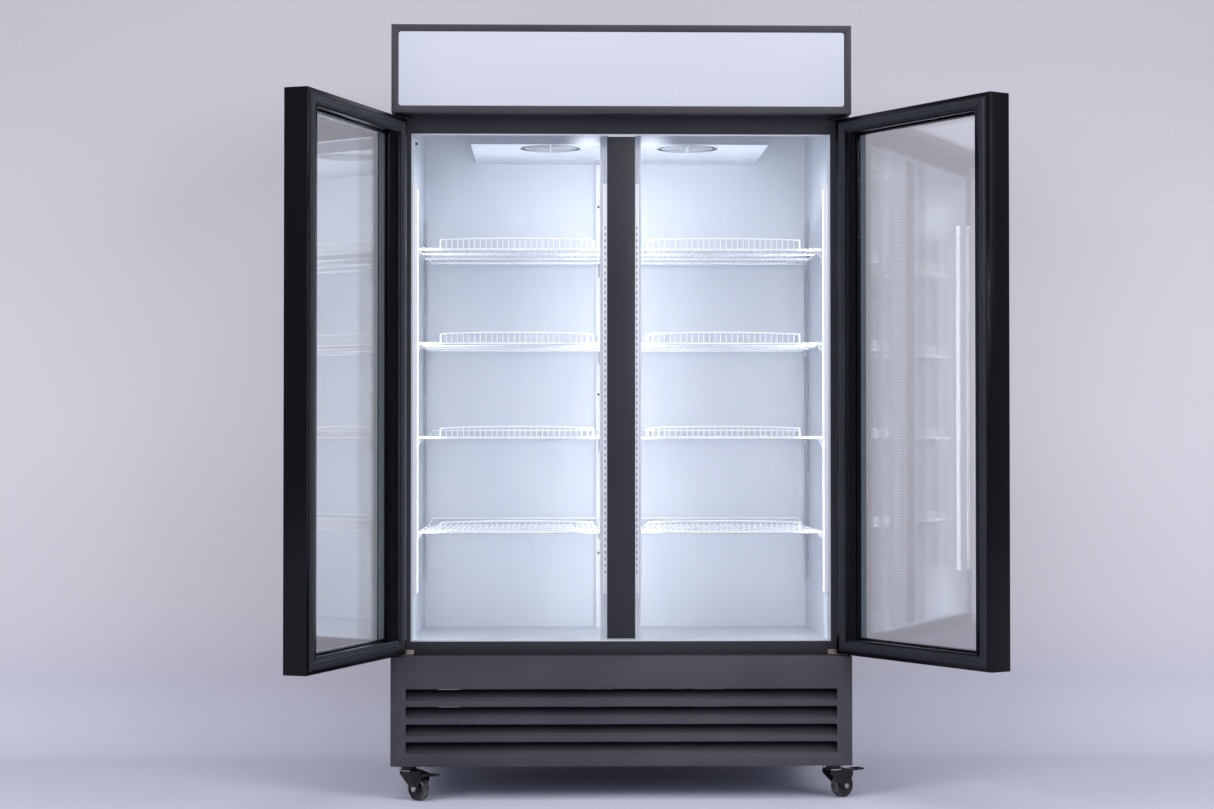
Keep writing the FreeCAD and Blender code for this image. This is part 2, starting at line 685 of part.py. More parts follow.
def sign_panel():
    """White acrylic sign: a flat flange behind the window and a raised face filling it."""
    lap = SIGN_BORDER - SIGN_LAP
    y = FACE_Y + SHEET + 0.2
    flange = box(-HALF + lap, HALF - lap, y, y + SIGN_T, HEADER_Z + lap, HEIGHT - lap)
    edge = SIGN_BORDER + SIGN_PLAY
    raised = rounded_upright(-HALF + edge, HALF - edge, HEADER_Z + edge, HEIGHT - edge,
                             y - SIGN_PILLOW, y + 1, SIGN_CORNER_R - SIGN_PLAY)
    return join([flange, raised])


def header_light_bars():
    """Two light bars inside the header, each with a row of lens blocks."""
    shapes = []
    y = BODY_Y - SHEET - 3.0
    lens, pitch = 10.0, 46.0
    count = int((WIDTH - 100) // pitch)
    for z in (HEADER_Z + HEADER_HEIGHT * 0.32, HEADER_Z + HEADER_HEIGHT * 0.68):
        bar = [box(-HALF + 30, HALF - 30, y, y + 3.0, z - 11, z + 11)]
        for i in range(count):
            x = (i - (count - 1) / 2) * pitch
            bar.append(box(x - lens / 2, x + lens / 2, y - 3, y + 1, z - lens / 2, z + lens / 2))
        shapes.append(join(bar))
    return shapes


def rocker(z):
    """Rocker switch cap in the header's right side, lying at one end of its tilt."""
    y = FACE_Y + SWITCH_BACK
    x = HALF
    half = SWITCH_H / 2
    points = [Vec(x - 5, y - SWITCH_W / 2, z - half), Vec(x + 1.5, y - SWITCH_W / 2, z - half),
              Vec(x + 0.6, y - SWITCH_W / 2, z), Vec(x + 1.5, y - SWITCH_W / 2, z + half),
              Vec(x - 5, y - SWITCH_W / 2, z + half)]
    cap = prism(points, Vec(0, SWITCH_W, 0))
    cap.rotate(Vec(x - 2, y, z), Vec(0, 1, 0), SWITCH_TILT)
    return cap


def grille_panel():
    """Base front: a shallow box with four wide slots between plain strips."""
    front = box(-HALF, HALF, FACE_Y, FACE_Y + SHEET, BASE_Z, BASE_TOP)
    top = box(-HALF, HALF, FACE_Y, BODY_Y, BASE_TOP - SHEET, BASE_TOP)
    side = join([box(-HALF, -HALF + SHEET, FACE_Y, FRAME_BACK, BASE_Z, DECK_Z),
                 box(-HALF, -HALF + SHEET, FACE_Y, BODY_Y, DECK_Z, BASE_TOP)])
    panel = join([front, top, side, mirrored(side)])
    cuts = []
    for z in slot_lines():
        cuts.append(rounded_upright(-HALF + SLOT_SIDE, HALF - SLOT_SIDE, z, z + SLOT_H,
                                    FACE_Y - 2, FACE_Y + SHEET + 2, 3.0))
    return panel.cut(group(cuts))


def slot_lines():
    return [BASE_Z + SLOT_LOWEST + i * SLOT_PITCH_Z for i in range(SLOT_COUNT)]


def grille_louvres():
    """Sloping blade behind each slot, from the slot's lower edge up to a narrow air gap."""
    shapes = []
    x0 = -HALF + SLOT_SIDE - 6
    x1 = HALF - SLOT_SIDE + 6
    y0 = FACE_Y + SHEET + 0.2
    t = 1.5
    for z in slot_lines():
        low = z - 3
        high = z + SLOT_H - BLADE_GAP
        points = [Vec(x0, y0, low), Vec(x0, y0, low + 4), Vec(x0, y0 + BLADE_DEPTH, high),
                  Vec(x0, y0 + BLADE_DEPTH + t, high - t), Vec(x0, y0 + t + 0.6, low)]
        shapes.append(prism(points, Vec(x1 - x0, 0, 0)))
    return group(shapes)


def compressor():
    """Welded shell with its base plate, four rubber-mounted feet and the pipe stubs."""
    x, y = COMPRESSOR_X, COMPRESSOR_Y
    foot_h = 14.0
    z0 = BASE_Z + 2
    z1 = z0 + foot_h
    can = Part.makeCylinder(COMPRESSOR_R, COMPRESSOR_H, Vec(x, y, z1 + 4))
    can = can.makeFillet(COMPRESSOR_R * 0.35, [e for e in can.Edges if len(e.Vertexes) == 1])
    seam = Part.makeCylinder(COMPRESSOR_R + 4, 6, Vec(x, y, z1 + 4 + COMPRESSOR_H * 0.45))
    plate = box(x - COMPRESSOR_R - 8, x + COMPRESSOR_R + 8, y - 70, y + 70, z1, z1 + 5)
    parts = [can, seam, plate]
    for sx in (-1, 1):
        for sy in (-1, 1):
            parts.append(Part.makeCylinder(13, foot_h, Vec(x + sx * 78, y + sy * 54, z0)))
    for dx in (-30, 30):
        parts.append(rod(4.5, Vec(x + dx, y, z1 + COMPRESSOR_H - 20), Vec(x + dx, y, z1 + COMPRESSOR_H + 28)))
    return join(parts)


def condenser_coil():
    """Finned condenser behind the louvres, with end plates and a few tube rows in its face."""
    x0 = CONDENSER_X - CONDENSER_W / 2
    x1 = CONDENSER_X + CONDENSER_W / 2
    y0, y1 = CONDENSER_Y, CONDENSER_Y + CONDENSER_D
    z0 = BASE_Z + 10
    core = box(x0, x1, y0 + 3, y1 - 3, z0, z0 + CONDENSER_H)
    plates = [box(x - 2, x + 2, y0, y1, BASE_Z + 2, z0 + CONDENSER_H + 4) for x in (x0, x1)]
    tubes = []
    for i in range(8):
        z = z0 + 14 + i * (CONDENSER_H - 28) / 7
        tubes.append(rod(4.5, Vec(x0 - 10, y0 + 3, z), Vec(x1 + 10, y0 + 3, z)))
    return join([core] + plates + tubes)


def condenser_shroud():
    """Plate with a round mouth behind the condenser, and the fan motor on its bracket."""
    x, z = CONDENSER_X, BASE_Z + 10 + CONDENSER_H / 2
    y0 = CONDENSER_Y + CONDENSER_D + 0.5
    depth = 28.0
    half_w, half_h = CONDENSER_W / 2, CONDENSER_H / 2
    mouth_r = COND_FAN_R + 5
    shell = box(x - half_w, x + half_w, y0, y0 + depth, BASE_Z + 2, z + half_h)
    shell = shell.cut(box(x - half_w + 2, x + half_w - 2, y0 - 1, y0 + depth - 2,
                          BASE_Z + 4, z + half_h - 2))
    shell = shell.cut(rod(mouth_r, Vec(x, y0 - 5, z), Vec(x, y0 + depth + 5, z)))
    motor = rod(32, Vec(x, y0 + depth + 18, z), Vec(x, y0 + depth + 70, z))
    stand = box(x - 26, x + 26, y0 + depth + 38, y0 + depth + 44, BASE_Z + 2, z)
    return group([shell, join([motor, stand])])


def condenser_fan():
    z = BASE_Z + 10 + CONDENSER_H / 2
    y = CONDENSER_Y + CONDENSER_D + 12
    return fan(COND_FAN_R, 24, 26, 4, Vec(CONDENSER_X, y, z), Vec(0, 1, 0))


def condensate_pan():
    """Open evaporating tray on the chassis behind the fan."""
    x0 = -HALF + 90
    y1 = BACK_Y - 30
    z0 = BASE_Z + 2
    tray = box(x0, x0 + PAN_W, y1 - PAN_D, y1, z0, z0 + PAN_H)
    hollow = box(x0 + 2, x0 + PAN_W - 2, y1 - PAN_D + 2, y1 - 2, z0 + 2, z0 + PAN_H + 1)
    return tray.cut(hollow)


def control_box():
    """Electrical box with an overhanging lid, beside the compressor."""
    x0 = GLAND_X - BOX_W / 2
    y0 = BODY_Y + 90
    z0 = BASE_Z + 2
    case = box(x0, x0 + BOX_W, y0, y0 + BOX_D, z0, z0 + BOX_H)
    case = case.cut(box(x0 + 2, x0 + BOX_W - 2, y0 + 2, y0 + BOX_D - 2, z0 + 2, z0 + BOX_H + 1))
    lid = box(x0 - 1.5, x0 + BOX_W + 1.5, y0 - 1.5, y0 + BOX_D + 1.5, z0 + BOX_H + 0.2,
              z0 + BOX_H + 2.2)
    return group([case, lid])


def cord_gland():
    """Bush in the rear sheet with the hole for the supply cord and a nut inside."""
    inside, outside = 14.0, 12.0
    y0 = BACK_Y - SKIN
    body_r = GLAND_R - 0.3
    shank = rod(body_r, Vec(GLAND_X, y0 - inside, GLAND_Z), Vec(GLAND_X, BACK_Y + outside, GLAND_Z))
    flange = rod(GLAND_R + 5, Vec(GLAND_X, BACK_Y, GLAND_Z), Vec(GLAND_X, BACK_Y + 5, GLAND_Z))
    nut = rod(GLAND_R + 5, Vec(GLAND_X, y0 - 6, GLAND_Z), Vec(GLAND_X, y0, GLAND_Z))
    bore = rod(CORD_HOLE_R, Vec(GLAND_X, y0 - 60, GLAND_Z), Vec(GLAND_X, BACK_Y + 60, GLAND_Z))
    return join([shank, flange, nut]).cut(bore)


def hinge_bracket(top):
    """Plate with a pin at its eye, bent up or down against the cabinet's face, left-hand side."""
    z_plate = DOOR_Z1 + 3 if top else BASE_TOP + 0.3
    x, y = HINGE_X, HINGE_Y
    face = BODY_Y - 0.2
    plate = prism([Vec(x - 9, y - 13, z_plate), Vec(x + 9, y - 13, z_plate), Vec(x + 46, face, z_plate),
                   Vec(x - 9, face, z_plate)], Vec(0, 0, HINGE_PLATE_T))
    leg_drop, leg_rise = (6.0, 0.0) if top else (0.0, 9.0)
    leg = box(x - 9, x + 46, face - 3, face, z_plate - leg_drop, z_plate + HINGE_PLATE_T + leg_rise)
    reach = 10.0
    if top:
        pin = rod(HINGE_PIN_R, Vec(x, y, DOOR_Z1 - reach), Vec(x, y, z_plate + HINGE_PLATE_T + 3))
    else:
        pin = rod(HINGE_PIN_R, Vec(x, y, z_plate), Vec(x, y, DOOR_Z0 + reach))
    return join([plate, leg, pin])


def hinge_brackets():
    shapes = [hinge_bracket(True), hinge_bracket(False)]
    return group(shapes + [mirrored(s) for s in shapes])


def cabinet_screws():
    """Domed screws in the header's top edge and under it, and in the rear centre column."""
    shapes = []
    for x in (-HALF + 102, 0, HALF - 102):
        shapes.append(Part.makeCylinder(4.5, 2.2, Vec(x, FACE_Y + 18, HEIGHT)))
    shapes.append(Part.makeCylinder(4.0, 2.0, Vec(30, FACE_Y + 12, HEADER_Z - 2.0)))
    y = IN_BACK - REAR_COLUMN_T
    for x in (-REAR_COLUMN_W / 2 + 7, REAR_COLUMN_W / 2 - 7):
        for z in (SHELF_LINES[0] - 80, (SHELF_LINES[0] + SHELF_LINES[-1]) / 2, SHELF_LINES[-1] + 166):
            shapes.append(rod(3.5, Vec(x, y - 2, z), Vec(x, y, z)))
    return group(shapes)


def castor_places():
    x = HALF - CASTOR_IN
    front = FACE_Y + CASTOR_BACK
    rear = BACK_Y - CASTOR_REAR
    return {"fl": (-x, front), "fr": (x, front), "rl": (-x, rear), "rr": (x, rear)}


def castor_plates():
    """Top plate, raceway cup, kingpin and four bolts of each castor."""
    shapes = []
    z1 = BASE_Z
    z0 = z1 - PLATE_T
    ear_top = fork_top()
    half = PLATE_SIDE / 2
    for x, y in castor_places().values():
        plate = box(x - half, x + half, y - half, y + half, z0, z1)
        cup = Part.makeCylinder(23, z0 - ear_top - 0.5, Vec(x, y, ear_top + 0.5))
        pin = Part.makeCylinder(KINGPIN_R, z0 - ear_top + 8, Vec(x, y, ear_top - 7))
        head = Part.makeCylinder(KINGPIN_R + 3, 3, Vec(x, y, ear_top - 3 - 4.5))
        shapes.append(join([plate, cup, pin, head]))
    return group(shapes)


def castor_bolts_at(x, y):
    half = BOLT_SPACING / 2
    z = BASE_Z - PLATE_T - 5
    return [hex_prism(BOLT_R, 5, x + sx * half, y + sy * half, z) for sx in (-1, 1) for sy in (-1, 1)]


def castor_bolts():
    shapes = []
    for x, y in castor_places().values():
        shapes += castor_bolts_at(x, y)
    return shapes


def fork_top():
    return BASE_Z - PLATE_T - 10.5


def castor_fork(braked):
    """Swivel fork and its axle in local axes: kingpin at the origin, wheel trailing along +X."""
    top = fork_top()
    t = 3.0
    gap = WHEEL_W / 2 + 1.5
    disc = Part.makeCylinder(25, t, Vec(0, 0, top - t))
    bridge = box(0, 30, -gap - EAR_T, gap + EAR_T, top - t, top)
    hole = Part.makeCylinder(KINGPIN_R + RUNNING, 3 * t, Vec(0, 0, top - 2 * t))
    ears = []
    tail = PEDAL_PIVOT_X + 8 if braked else TRAIL + 14
    for y in (-gap - EAR_T, gap):
        outline = [Vec(-20, y, top), Vec(-20, y, top - 12), Vec(TRAIL - 10.5, y, WHEEL_R - 3),
                   Vec(TRAIL + 10.5, y, WHEEL_R - 3), Vec(tail, y, PEDAL_PIVOT_Z - 7),
                   Vec(tail, y, PEDAL_PIVOT_Z + 6), Vec(28, y, top)]
        ear = prism(outline, Vec(0, EAR_T, 0))
        lobe = rod(11, Vec(TRAIL, y, WHEEL_R), Vec(TRAIL, y + EAR_T, WHEEL_R))
        ears += [ear, lobe]
    hub_gap = gap + EAR_T
    axle = rod(AXLE_R, Vec(TRAIL, -hub_gap - 5, WHEEL_R), Vec(TRAIL, hub_gap + 5, WHEEL_R))
    nuts = [rod(6.5, Vec(TRAIL, s * hub_gap, WHEEL_R), Vec(TRAIL, s * (hub_gap + 4), WHEEL_R))
            for s in (-1, 1)]
    body = join([disc, bridge] + ears)
    if braked:
        pivot = rod(3 + RUNNING, Vec(PEDAL_PIVOT_X, -60, PEDAL_PIVOT_Z), Vec(PEDAL_PIVOT_X, 60, PEDAL_PIVOT_Z))
        body = body.cut(pivot)
    body = body.cut(hole)
    return join([body, axle] + nuts)


def castor_wheel():
    """Solid wheel on a plain bore, with a crowned tread that has two shallow grooves."""
    half = WHEEL_W / 2
    centre = Vec(TRAIL, 0, WHEEL_R)
    profile = [Vec(AXLE_R + RUNNING, -half + 0, 0), Vec(12, -half, 0), Vec(13, -half + 2, 0),
               Vec(22, -half + 2, 0), Vec(23, -half + 0.5, 0), Vec(27, -half + 0.5, 0),
               Vec(30.2, -half + 4, 0), Vec(WHEEL_R, -6.2, 0), Vec(WHEEL_R - 0.7, -5.7, 0),
               Vec(WHEEL_R - 0.7, -3.7, 0), Vec(WHEEL_R, -3.2, 0)]
    other = [Vec(p.x, -p.y, 0) for p in reversed(profile)]
    wire = Part.makePolygon(profile + other + [profile[0]])
    solid = Part.Face(wire).revolve(Vec(0, 0, 0), Vec(0, 1, 0), 360)
    solid.translate(centre)
    return solid


def castor_pedal():
    """Brake pedal: a barrel and a tapered foot plate on a pin through the fork."""
    gap = WHEEL_W / 2 + 1.5
    x, z = PEDAL_PIVOT_X, PEDAL_PIVOT_Z
    pin = rod(3, Vec(x, -gap - EAR_T - 1.5, z), Vec(x, gap + EAR_T + 1.5, z))
    barrel = rod(5, Vec(x, -gap + 0.5, z), Vec(x, gap - 0.5, z))
    outer = PEDAL_REACH
    foot = prism([Vec(x + 2, -gap + 1, z + 1), Vec(x + 18, -gap + 1, z + 3.5),
                  Vec(outer, -gap + 1, z + 4.5), Vec(outer, -gap + 1, z + 7.5),
                  Vec(x + 16, -gap + 1, z + 6.5), Vec(x - 1, -gap + 1, z + 4.5)],
                 Vec(0, 2 * gap - 2, 0))
    wide = box(x + 16, outer, -gap - 3, gap + 3, z + 3.5, z + 6.5)
    return join([pin, barrel, foot, wide.common(foot_wedge(outer, gap))])


def foot_wedge(outer, gap):
    """Tapered outline that rounds off the foot plate's tip, seen from above."""
    low = PEDAL_PIVOT_Z - 20
    x = PEDAL_PIVOT_X + 16
    points = [Vec(x, -gap - 3, low), Vec(outer - 8, -gap - 3, low), Vec(outer, -gap + 4, low),
              Vec(outer, gap - 4, low), Vec(outer - 8, gap + 3, low), Vec(x, gap + 3, low)]
    return prism(points, Vec(0, 0, 60))


def placed_castor(shape, key):
    x, y = castor_places()[key]
    copy = turned(shape, CASTOR_TURN[key], 0, 0)
    copy.translate(Vec(x, y, 0))
    return copy


def door_frame():
    """Black door frame, closed left door: window rebated from the front for the glass unit."""
    y_lip = DOOR_Y0 + FRONT_LIP
    z0, z1 = DOOR_Z0, DOOR_Z1
    lip = ring(DOOR_X0, DOOR_X1, z0, z1, STILE_FACE - FRONT_COVER, RAIL_FACE - FRONT_COVER,
               DOOR_Y0, y_lip)
    pocket = ring(DOOR_X0, DOOR_X1, z0, z1, STILE_FACE - REBATE, RAIL_FACE - REBATE,
                  y_lip, GLASS_Y1 + 0.2)
    rear = ring(DOOR_X0, DOOR_X1, z0, z1, STILE_FACE, RAIL_FACE, GLASS_Y1 + 0.2, DOOR_Y1)
    frame = join([lip, pocket, rear])
    mid = (z0 + z1) / 2
    grip_x1 = DOOR_X1 - GRIP_EDGE
    grip = box(grip_x1 - GRIP_WIDTH, grip_x1, DOOR_Y0 - 1, DOOR_Y0 + GRIP_DEPTH,
               mid - GRIP_LENGTH / 2, mid + GRIP_LENGTH / 2)
    bush_r = HINGE_PIN_R + RUNNING
    holes = [rod(bush_r, Vec(HINGE_X, HINGE_Y, z0 - 1), Vec(HINGE_X, HINGE_Y, z0 + 14)),
             rod(bush_r, Vec(HINGE_X, HINGE_Y, z1 - 14), Vec(HINGE_X, HINGE_Y, z1 + 1))]
    return frame.cut(group([grip] + holes))


def glass_outline(inset):
    side = STILE_FACE - REBATE + GLASS_PLAY + inset
    rail = RAIL_FACE - REBATE + GLASS_PLAY + inset
    return DOOR_X0 + side, DOOR_X1 - side, DOOR_Z0 + rail, DOOR_Z1 - rail


def door_glass():
    """The two panes of the sealed unit."""
    x0, x1, z0, z1 = glass_outline(0)
    front = box(x0, x1, GLASS_Y0, GLASS_Y0 + PANE_T, z0, z1)
    rear = box(x0, x1, GLASS_Y1 - PANE_T, GLASS_Y1, z0, z1)
    return group([front, rear])


def door_spacer():
    x0, x1, z0, z1 = glass_outline(0)
    return ring(x0, x1, z0, z1, SPACER_W, SPACER_W, GLASS_Y0 + PANE_T, GLASS_Y1 - PANE_T)


def door_gasket():
    """Magnetic gasket round the door's rear face: a flat foot and a narrower sealing face."""
    x0, x1 = DOOR_X0 + GASKET_INSET, DOOR_X1 - GASKET_INSET
    z0, z1 = DOOR_Z0 + GASKET_INSET - 4, DOOR_Z1 - GASKET_INSET + 4
    foot = ring(x0, x1, z0, z1, GASKET_W, GASKET_W, DOOR_Y1, DOOR_Y1 + 1.5)
    neck = 5.0
    face = ring(x0 + neck, x1 - neck, z0 + neck, z1 - neck, GASKET_W - 2 * neck,
                GASKET_W - 2 * neck, DOOR_Y1 + 1.5, DOOR_Y1 + GASKET_T)
    return join([foot, face])


def export(name, shape):
    shape.exportStep("parts/" + name + ".step")
    print(name, round(shape.Volume), len(shape.Solids))


def export_cabinet():
    left = side_panel()
    export("side_panel_left", left)
    export("side_panel_right", mirrored(left))
    for name, make in (("back_panel", back_panel), ("roof_panel", roof_panel),
                       ("base_tray", base_tray), ("foam_insulation", foam_insulation),
                       ("inner_liner", inner_liner), ("front_frame", front_frame),
                       ("mullion_post", mullion_post), ("mullion_cover", mullion_cover),
                       ("led_channels", led_channels), ("led_boards", led_boards),
                       ("shelf_uprights", shelf_uprights), ("shelf_clips", shelf_clips),
                       ("air_duct_cover", air_duct_cover), ("evaporator_coil", evaporator_coil),
                       ("header_box", header_box), ("sign_panel", sign_panel),
                       ("grille_panel", grille_panel),
                       ("grille_louvres", grille_louvres), ("compressor", compressor),
                       ("condenser_coil", condenser_coil), ("condenser_shroud", condenser_shroud),
                       ("condenser_fan", condenser_fan), ("condensate_pan", condensate_pan),
                       ("control_box", control_box), ("cord_gland", cord_gland),
                       ("hinge_brackets", hinge_brackets), ("castor_plates", castor_plates)):
        export(name, make())
    export("fasteners", group([cabinet_screws()] + castor_bolts()))
    export("evaporator_fan_left", evaporator_fan(-EVAP_FAN_X))
    export("evaporator_fan_right", evaporator_fan(EVAP_FAN_X))
    export("light_switch", rocker(SWITCH_UPPER_Z))
    export("power_switch", rocker(SWITCH_LOWER_Z))


def export_shelves():
    left = wire_shelf()
    right = mirrored(left)
    for i, z in enumerate(SHELF_LINES):
        export("shelf_left_" + str(i + 1), moved(left, 0, 0, z))
        export("shelf_right_" + str(i + 1), moved(right, 0, 0, z))


def export_castors():
    braked, plain = castor_fork(True), castor_fork(False)
    wheel, pedal = castor_wheel(), castor_pedal()
    for key in ("fl", "fr", "rl", "rr"):
        front = key.startswith("f")
        export("castor_fork_" + key, placed_castor(braked if front else plain, key))
        export("castor_wheel_" + key, placed_castor(wheel, key))
        if front:
            export("castor_pedal_" + key, placed_castor(pedal, key))


def export_doors():
    for name, make in (("frame", door_frame), ("glass", door_glass),
                       ("spacer", door_spacer), ("gasket", door_gasket)):
        closed = make()
        export("door_left_" + name, turned(closed, -LEFT_OPEN_DEG, HINGE_X, HINGE_Y))
        export("door_right_" + name, turned(mirrored(closed), RIGHT_OPEN_DEG, -HINGE_X, HINGE_Y))


os.makedirs("parts", exist_ok=True)
export_cabinet()
export_shelves()
export_castors()
export_doors()
print("castor centres", castor_places(), "fork top", fork_top())
print("shelf levels", SHELF_LINES, "shelf y", SHELF_Y0, SHELF_Y1, "shelf x", SHELF_X0, SHELF_X1)
print("hinge", HINGE_X, HINGE_Y, "inside x", IN_X, "back", IN_BACK, "floor", IN_FLOOR, "ceiling", IN_CEILING)
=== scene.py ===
import json
import math

import bmesh
import bpy
from mathutils import Matrix, Vector

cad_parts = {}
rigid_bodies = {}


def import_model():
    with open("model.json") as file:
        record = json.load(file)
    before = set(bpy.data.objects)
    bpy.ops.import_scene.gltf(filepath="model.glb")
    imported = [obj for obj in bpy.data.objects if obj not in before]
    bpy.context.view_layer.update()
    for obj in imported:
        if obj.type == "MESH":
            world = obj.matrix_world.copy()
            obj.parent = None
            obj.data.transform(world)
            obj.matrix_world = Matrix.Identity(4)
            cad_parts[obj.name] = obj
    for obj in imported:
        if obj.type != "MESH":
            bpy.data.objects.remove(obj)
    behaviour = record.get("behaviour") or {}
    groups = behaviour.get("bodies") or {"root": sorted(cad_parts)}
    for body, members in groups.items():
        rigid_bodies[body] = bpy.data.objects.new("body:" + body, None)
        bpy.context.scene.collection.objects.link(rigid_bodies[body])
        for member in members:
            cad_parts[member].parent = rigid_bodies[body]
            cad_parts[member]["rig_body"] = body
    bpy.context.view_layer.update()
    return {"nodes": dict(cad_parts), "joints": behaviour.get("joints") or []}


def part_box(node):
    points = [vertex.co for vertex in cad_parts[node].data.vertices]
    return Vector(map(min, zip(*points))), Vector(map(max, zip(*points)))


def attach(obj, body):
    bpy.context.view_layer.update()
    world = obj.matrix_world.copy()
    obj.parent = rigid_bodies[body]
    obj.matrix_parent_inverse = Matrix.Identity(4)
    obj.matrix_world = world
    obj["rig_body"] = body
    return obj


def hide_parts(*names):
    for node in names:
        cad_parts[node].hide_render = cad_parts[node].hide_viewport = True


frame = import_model()
nodes = frame["nodes"]
joints = {j["name"]: j for j in frame["joints"]}


# ------------------------------------------------------ header box, base grille and side sheets
# Folded steel sheet in a charcoal powder coat, screwed to the cabinet.
# The folds are slightly rounded, and the coat has a fine orange-peel skin.

class Sock:
    """A value or colour on its way through a finish. Arithmetic on it adds the Math nodes."""

    def __init__(self, finish, link):
        self.finish = finish
        self.link = link

    def math(self, operation, a, b=None):
        values = {0: a} if b is None else {0: a, 1: b}
        return self.finish.add("ShaderNodeMath", {"operation": operation}, values)

    def __add__(self, other):
        return self.math("ADD", self, other)

    def __radd__(self, other):
        return self.math("ADD", other, self)

    def __sub__(self, other):
        return self.math("SUBTRACT", self, other)

    def __rsub__(self, other):
        return self.math("SUBTRACT", other, self)

    def __mul__(self, other):
        return self.math("MULTIPLY", self, other)

    def __rmul__(self, other):
        return self.math("MULTIPLY", other, self)

    def __pow__(self, other):
        return self.math("POWER", self, other)

    def __lt__(self, other):
        return self.math("LESS_THAN", self, other)

    def __gt__(self, other):
        return self.math("GREATER_THAN", self, other)

    def __mod__(self, other):
        return self.math("FLOORED_MODULO", self, other)

    def __abs__(self):
        return self.math("ABSOLUTE", self)


class Finish:
    """One material, built node by node."""

    def __init__(self, name):
        self.material = bpy.data.materials.new(name)
        self.material.use_nodes = True
        self.tree = self.material.node_tree
        self.tree.nodes.clear()

    def add(self, kind, settings=None, values=None, out=0):
        node = self.tree.nodes.new(kind)
        for key, value in (settings or {}).items():
            if key == "stops":
                ramp = node.color_ramp
                for i, (place, colour) in enumerate(value):
                    stop = ramp.elements[i] if i < 2 else ramp.elements.new(place)
                    stop.position = place
                    stop.color = (*colour, 1.0)
            else:
                setattr(node, key, value)
        for key, value in (values or {}).items():
            socket = node.inputs[key]
            if isinstance(value, Sock):
                self.tree.links.new(value.link, socket)
            elif socket.type == "RGBA" and len(value) == 3:
                socket.default_value = (*value, 1.0)
            else:
                socket.default_value = value
        return Sock(self, node.outputs[out]) if node.outputs else None

    def place(self):
        return self.add("ShaderNodeTexCoord", out="Object")

    def axes(self):
        split = self.add("ShaderNodeSeparateXYZ", values={0: self.place()})
        outputs = split.link.node.outputs
        return [Sock(self, outputs[i]) for i in range(3)]

    def noise(self, scale, detail=2.0, stretch=(1, 1, 1), roughness=0.5):
        spot = self.add("ShaderNodeMapping", values={"Vector": self.place(), "Scale": stretch})
        return self.add("ShaderNodeTexNoise", values={
            "Vector": spot, "Scale": scale, "Detail": detail, "Roughness": roughness})

    def blend(self, factor, a, b):
        return self.add("ShaderNodeMix", {"data_type": "RGBA"}, {0: factor, 6: a, 7: b}, out=2)

    def steps(self, value, low, high):
        return self.add("ShaderNodeMapRange", {"interpolation_type": "SMOOTHSTEP"},
                        {"Value": value, "From Min": low, "From Max": high})

    def bump(self, height, strength, distance):
        return self.add("ShaderNodeBump", values={
            "Height": height, "Strength": strength, "Distance": distance})

    def coat(self, **values):
        shader = self.add("ShaderNodeBsdfPrincipled",
                          values={k.replace("_", " "): v for k, v in values.items()})
        self.add("ShaderNodeOutputMaterial", values={"Surface": shader})
        return self.material


def tone(red, green, blue):
    """Display colour, 0 to 255, as the linear colour that shaders take."""
    parts = [c / 255 for c in (red, green, blue)]
    return tuple(c / 12.92 if c <= 0.04045 else ((c + 0.055) / 1.055) ** 2.4 for c in parts)


def powder_coat(name, colour, dusty, rough):
    f = Finish(name)
    cloud = f.noise(3.0, 4.0)
    peel = f.noise(1400.0, 2.0)
    grit = f.noise(420.0, 3.0)
    colour = f.blend(f.steps(cloud, 0.35, 0.75) * 0.5, colour, dusty)
    return f.coat(Base_Color=colour, Roughness=rough + (cloud - 0.5) * 0.14 + (grit - 0.5) * 0.12,
                  Specular_IOR_Level=0.4, Normal=f.bump(peel + grit * 0.6, 0.25, 0.0004))


def body_of(node):
    return nodes[node]["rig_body"]


def wear(material, *names):
    """Puts a finish on CAD nodes that show as they are."""
    for name in names:
        for slot in nodes[name].material_slots:
            slot.material = material


def new_piece(name, mesh, materials):
    for material in materials:
        mesh.materials.append(material)
    piece = bpy.data.objects.new(name, mesh)
    bpy.context.scene.collection.objects.link(piece)
    return piece


def plain(piece):
    """Turns a piece with modifiers into one whose mesh is final."""
    piece.update_tag()
    graph = bpy.context.evaluated_depsgraph_get()
    graph.update()
    mesh = bpy.data.meshes.new_from_object(piece.evaluated_get(graph), depsgraph=graph)
    piece.modifiers.clear()
    piece.data = mesh
    return piece


def smooth(mesh, degrees=32):
    mesh.polygons.foreach_set("use_smooth", [True] * len(mesh.polygons))
    mesh.set_sharp_from_angle(angle=math.radians(degrees))


def softened(node, material, edge, inner=None, segments=2):
    """Copy of a CAD node with its edges rounded as a press or a mould leaves them.

    inner is (second material, test on a face's centre) for a part of the same casting."""
    mesh = nodes[node].data.copy()
    mesh.materials.clear()
    work = bmesh.new()
    work.from_mesh(mesh)
    bmesh.ops.remove_doubles(work, verts=work.verts, dist=0.00002)
    bmesh.ops.dissolve_limit(work, angle_limit=math.radians(0.8), verts=work.verts, edges=work.edges)
    if inner:
        for face in work.faces:
            face.material_index = 1 if inner[1](face.calc_center_median()) else 0
    work.to_mesh(mesh)
    work.free()
    piece = new_piece(node + "_finished", mesh, [material] + ([inner[0]] if inner else []))
    rounding = piece.modifiers.new("edge", "BEVEL")
    rounding.width = edge
    rounding.segments = segments
    rounding.limit_method = "ANGLE"
    rounding.angle_limit = math.radians(38)
    rounding.use_clamp_overlap = True
    rounding.miter_outer = "MITER_ARC"
    plain(piece)
    smooth(piece.data, 40)
    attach(piece, body_of(node))
    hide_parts(node)
    return piece


# One charcoal coat in two tones: the header's darker copy is painted shade, and the lighter one on the
# grille and side sheets is painted light.
charcoal = powder_coat("charcoal_powder_coat", tone(59, 58, 65), tone(75, 74, 82), 0.42)
softened("grille_panel", charcoal, 0.0009)
softened("header_box", powder_coat("header_powder_coat", tone(50, 49, 56), tone(64, 63, 70), 0.44), 0.0009)
for sheet in ("side_panel_left", "side_panel_right"):
    softened(sheet, charcoal, 0.0004)


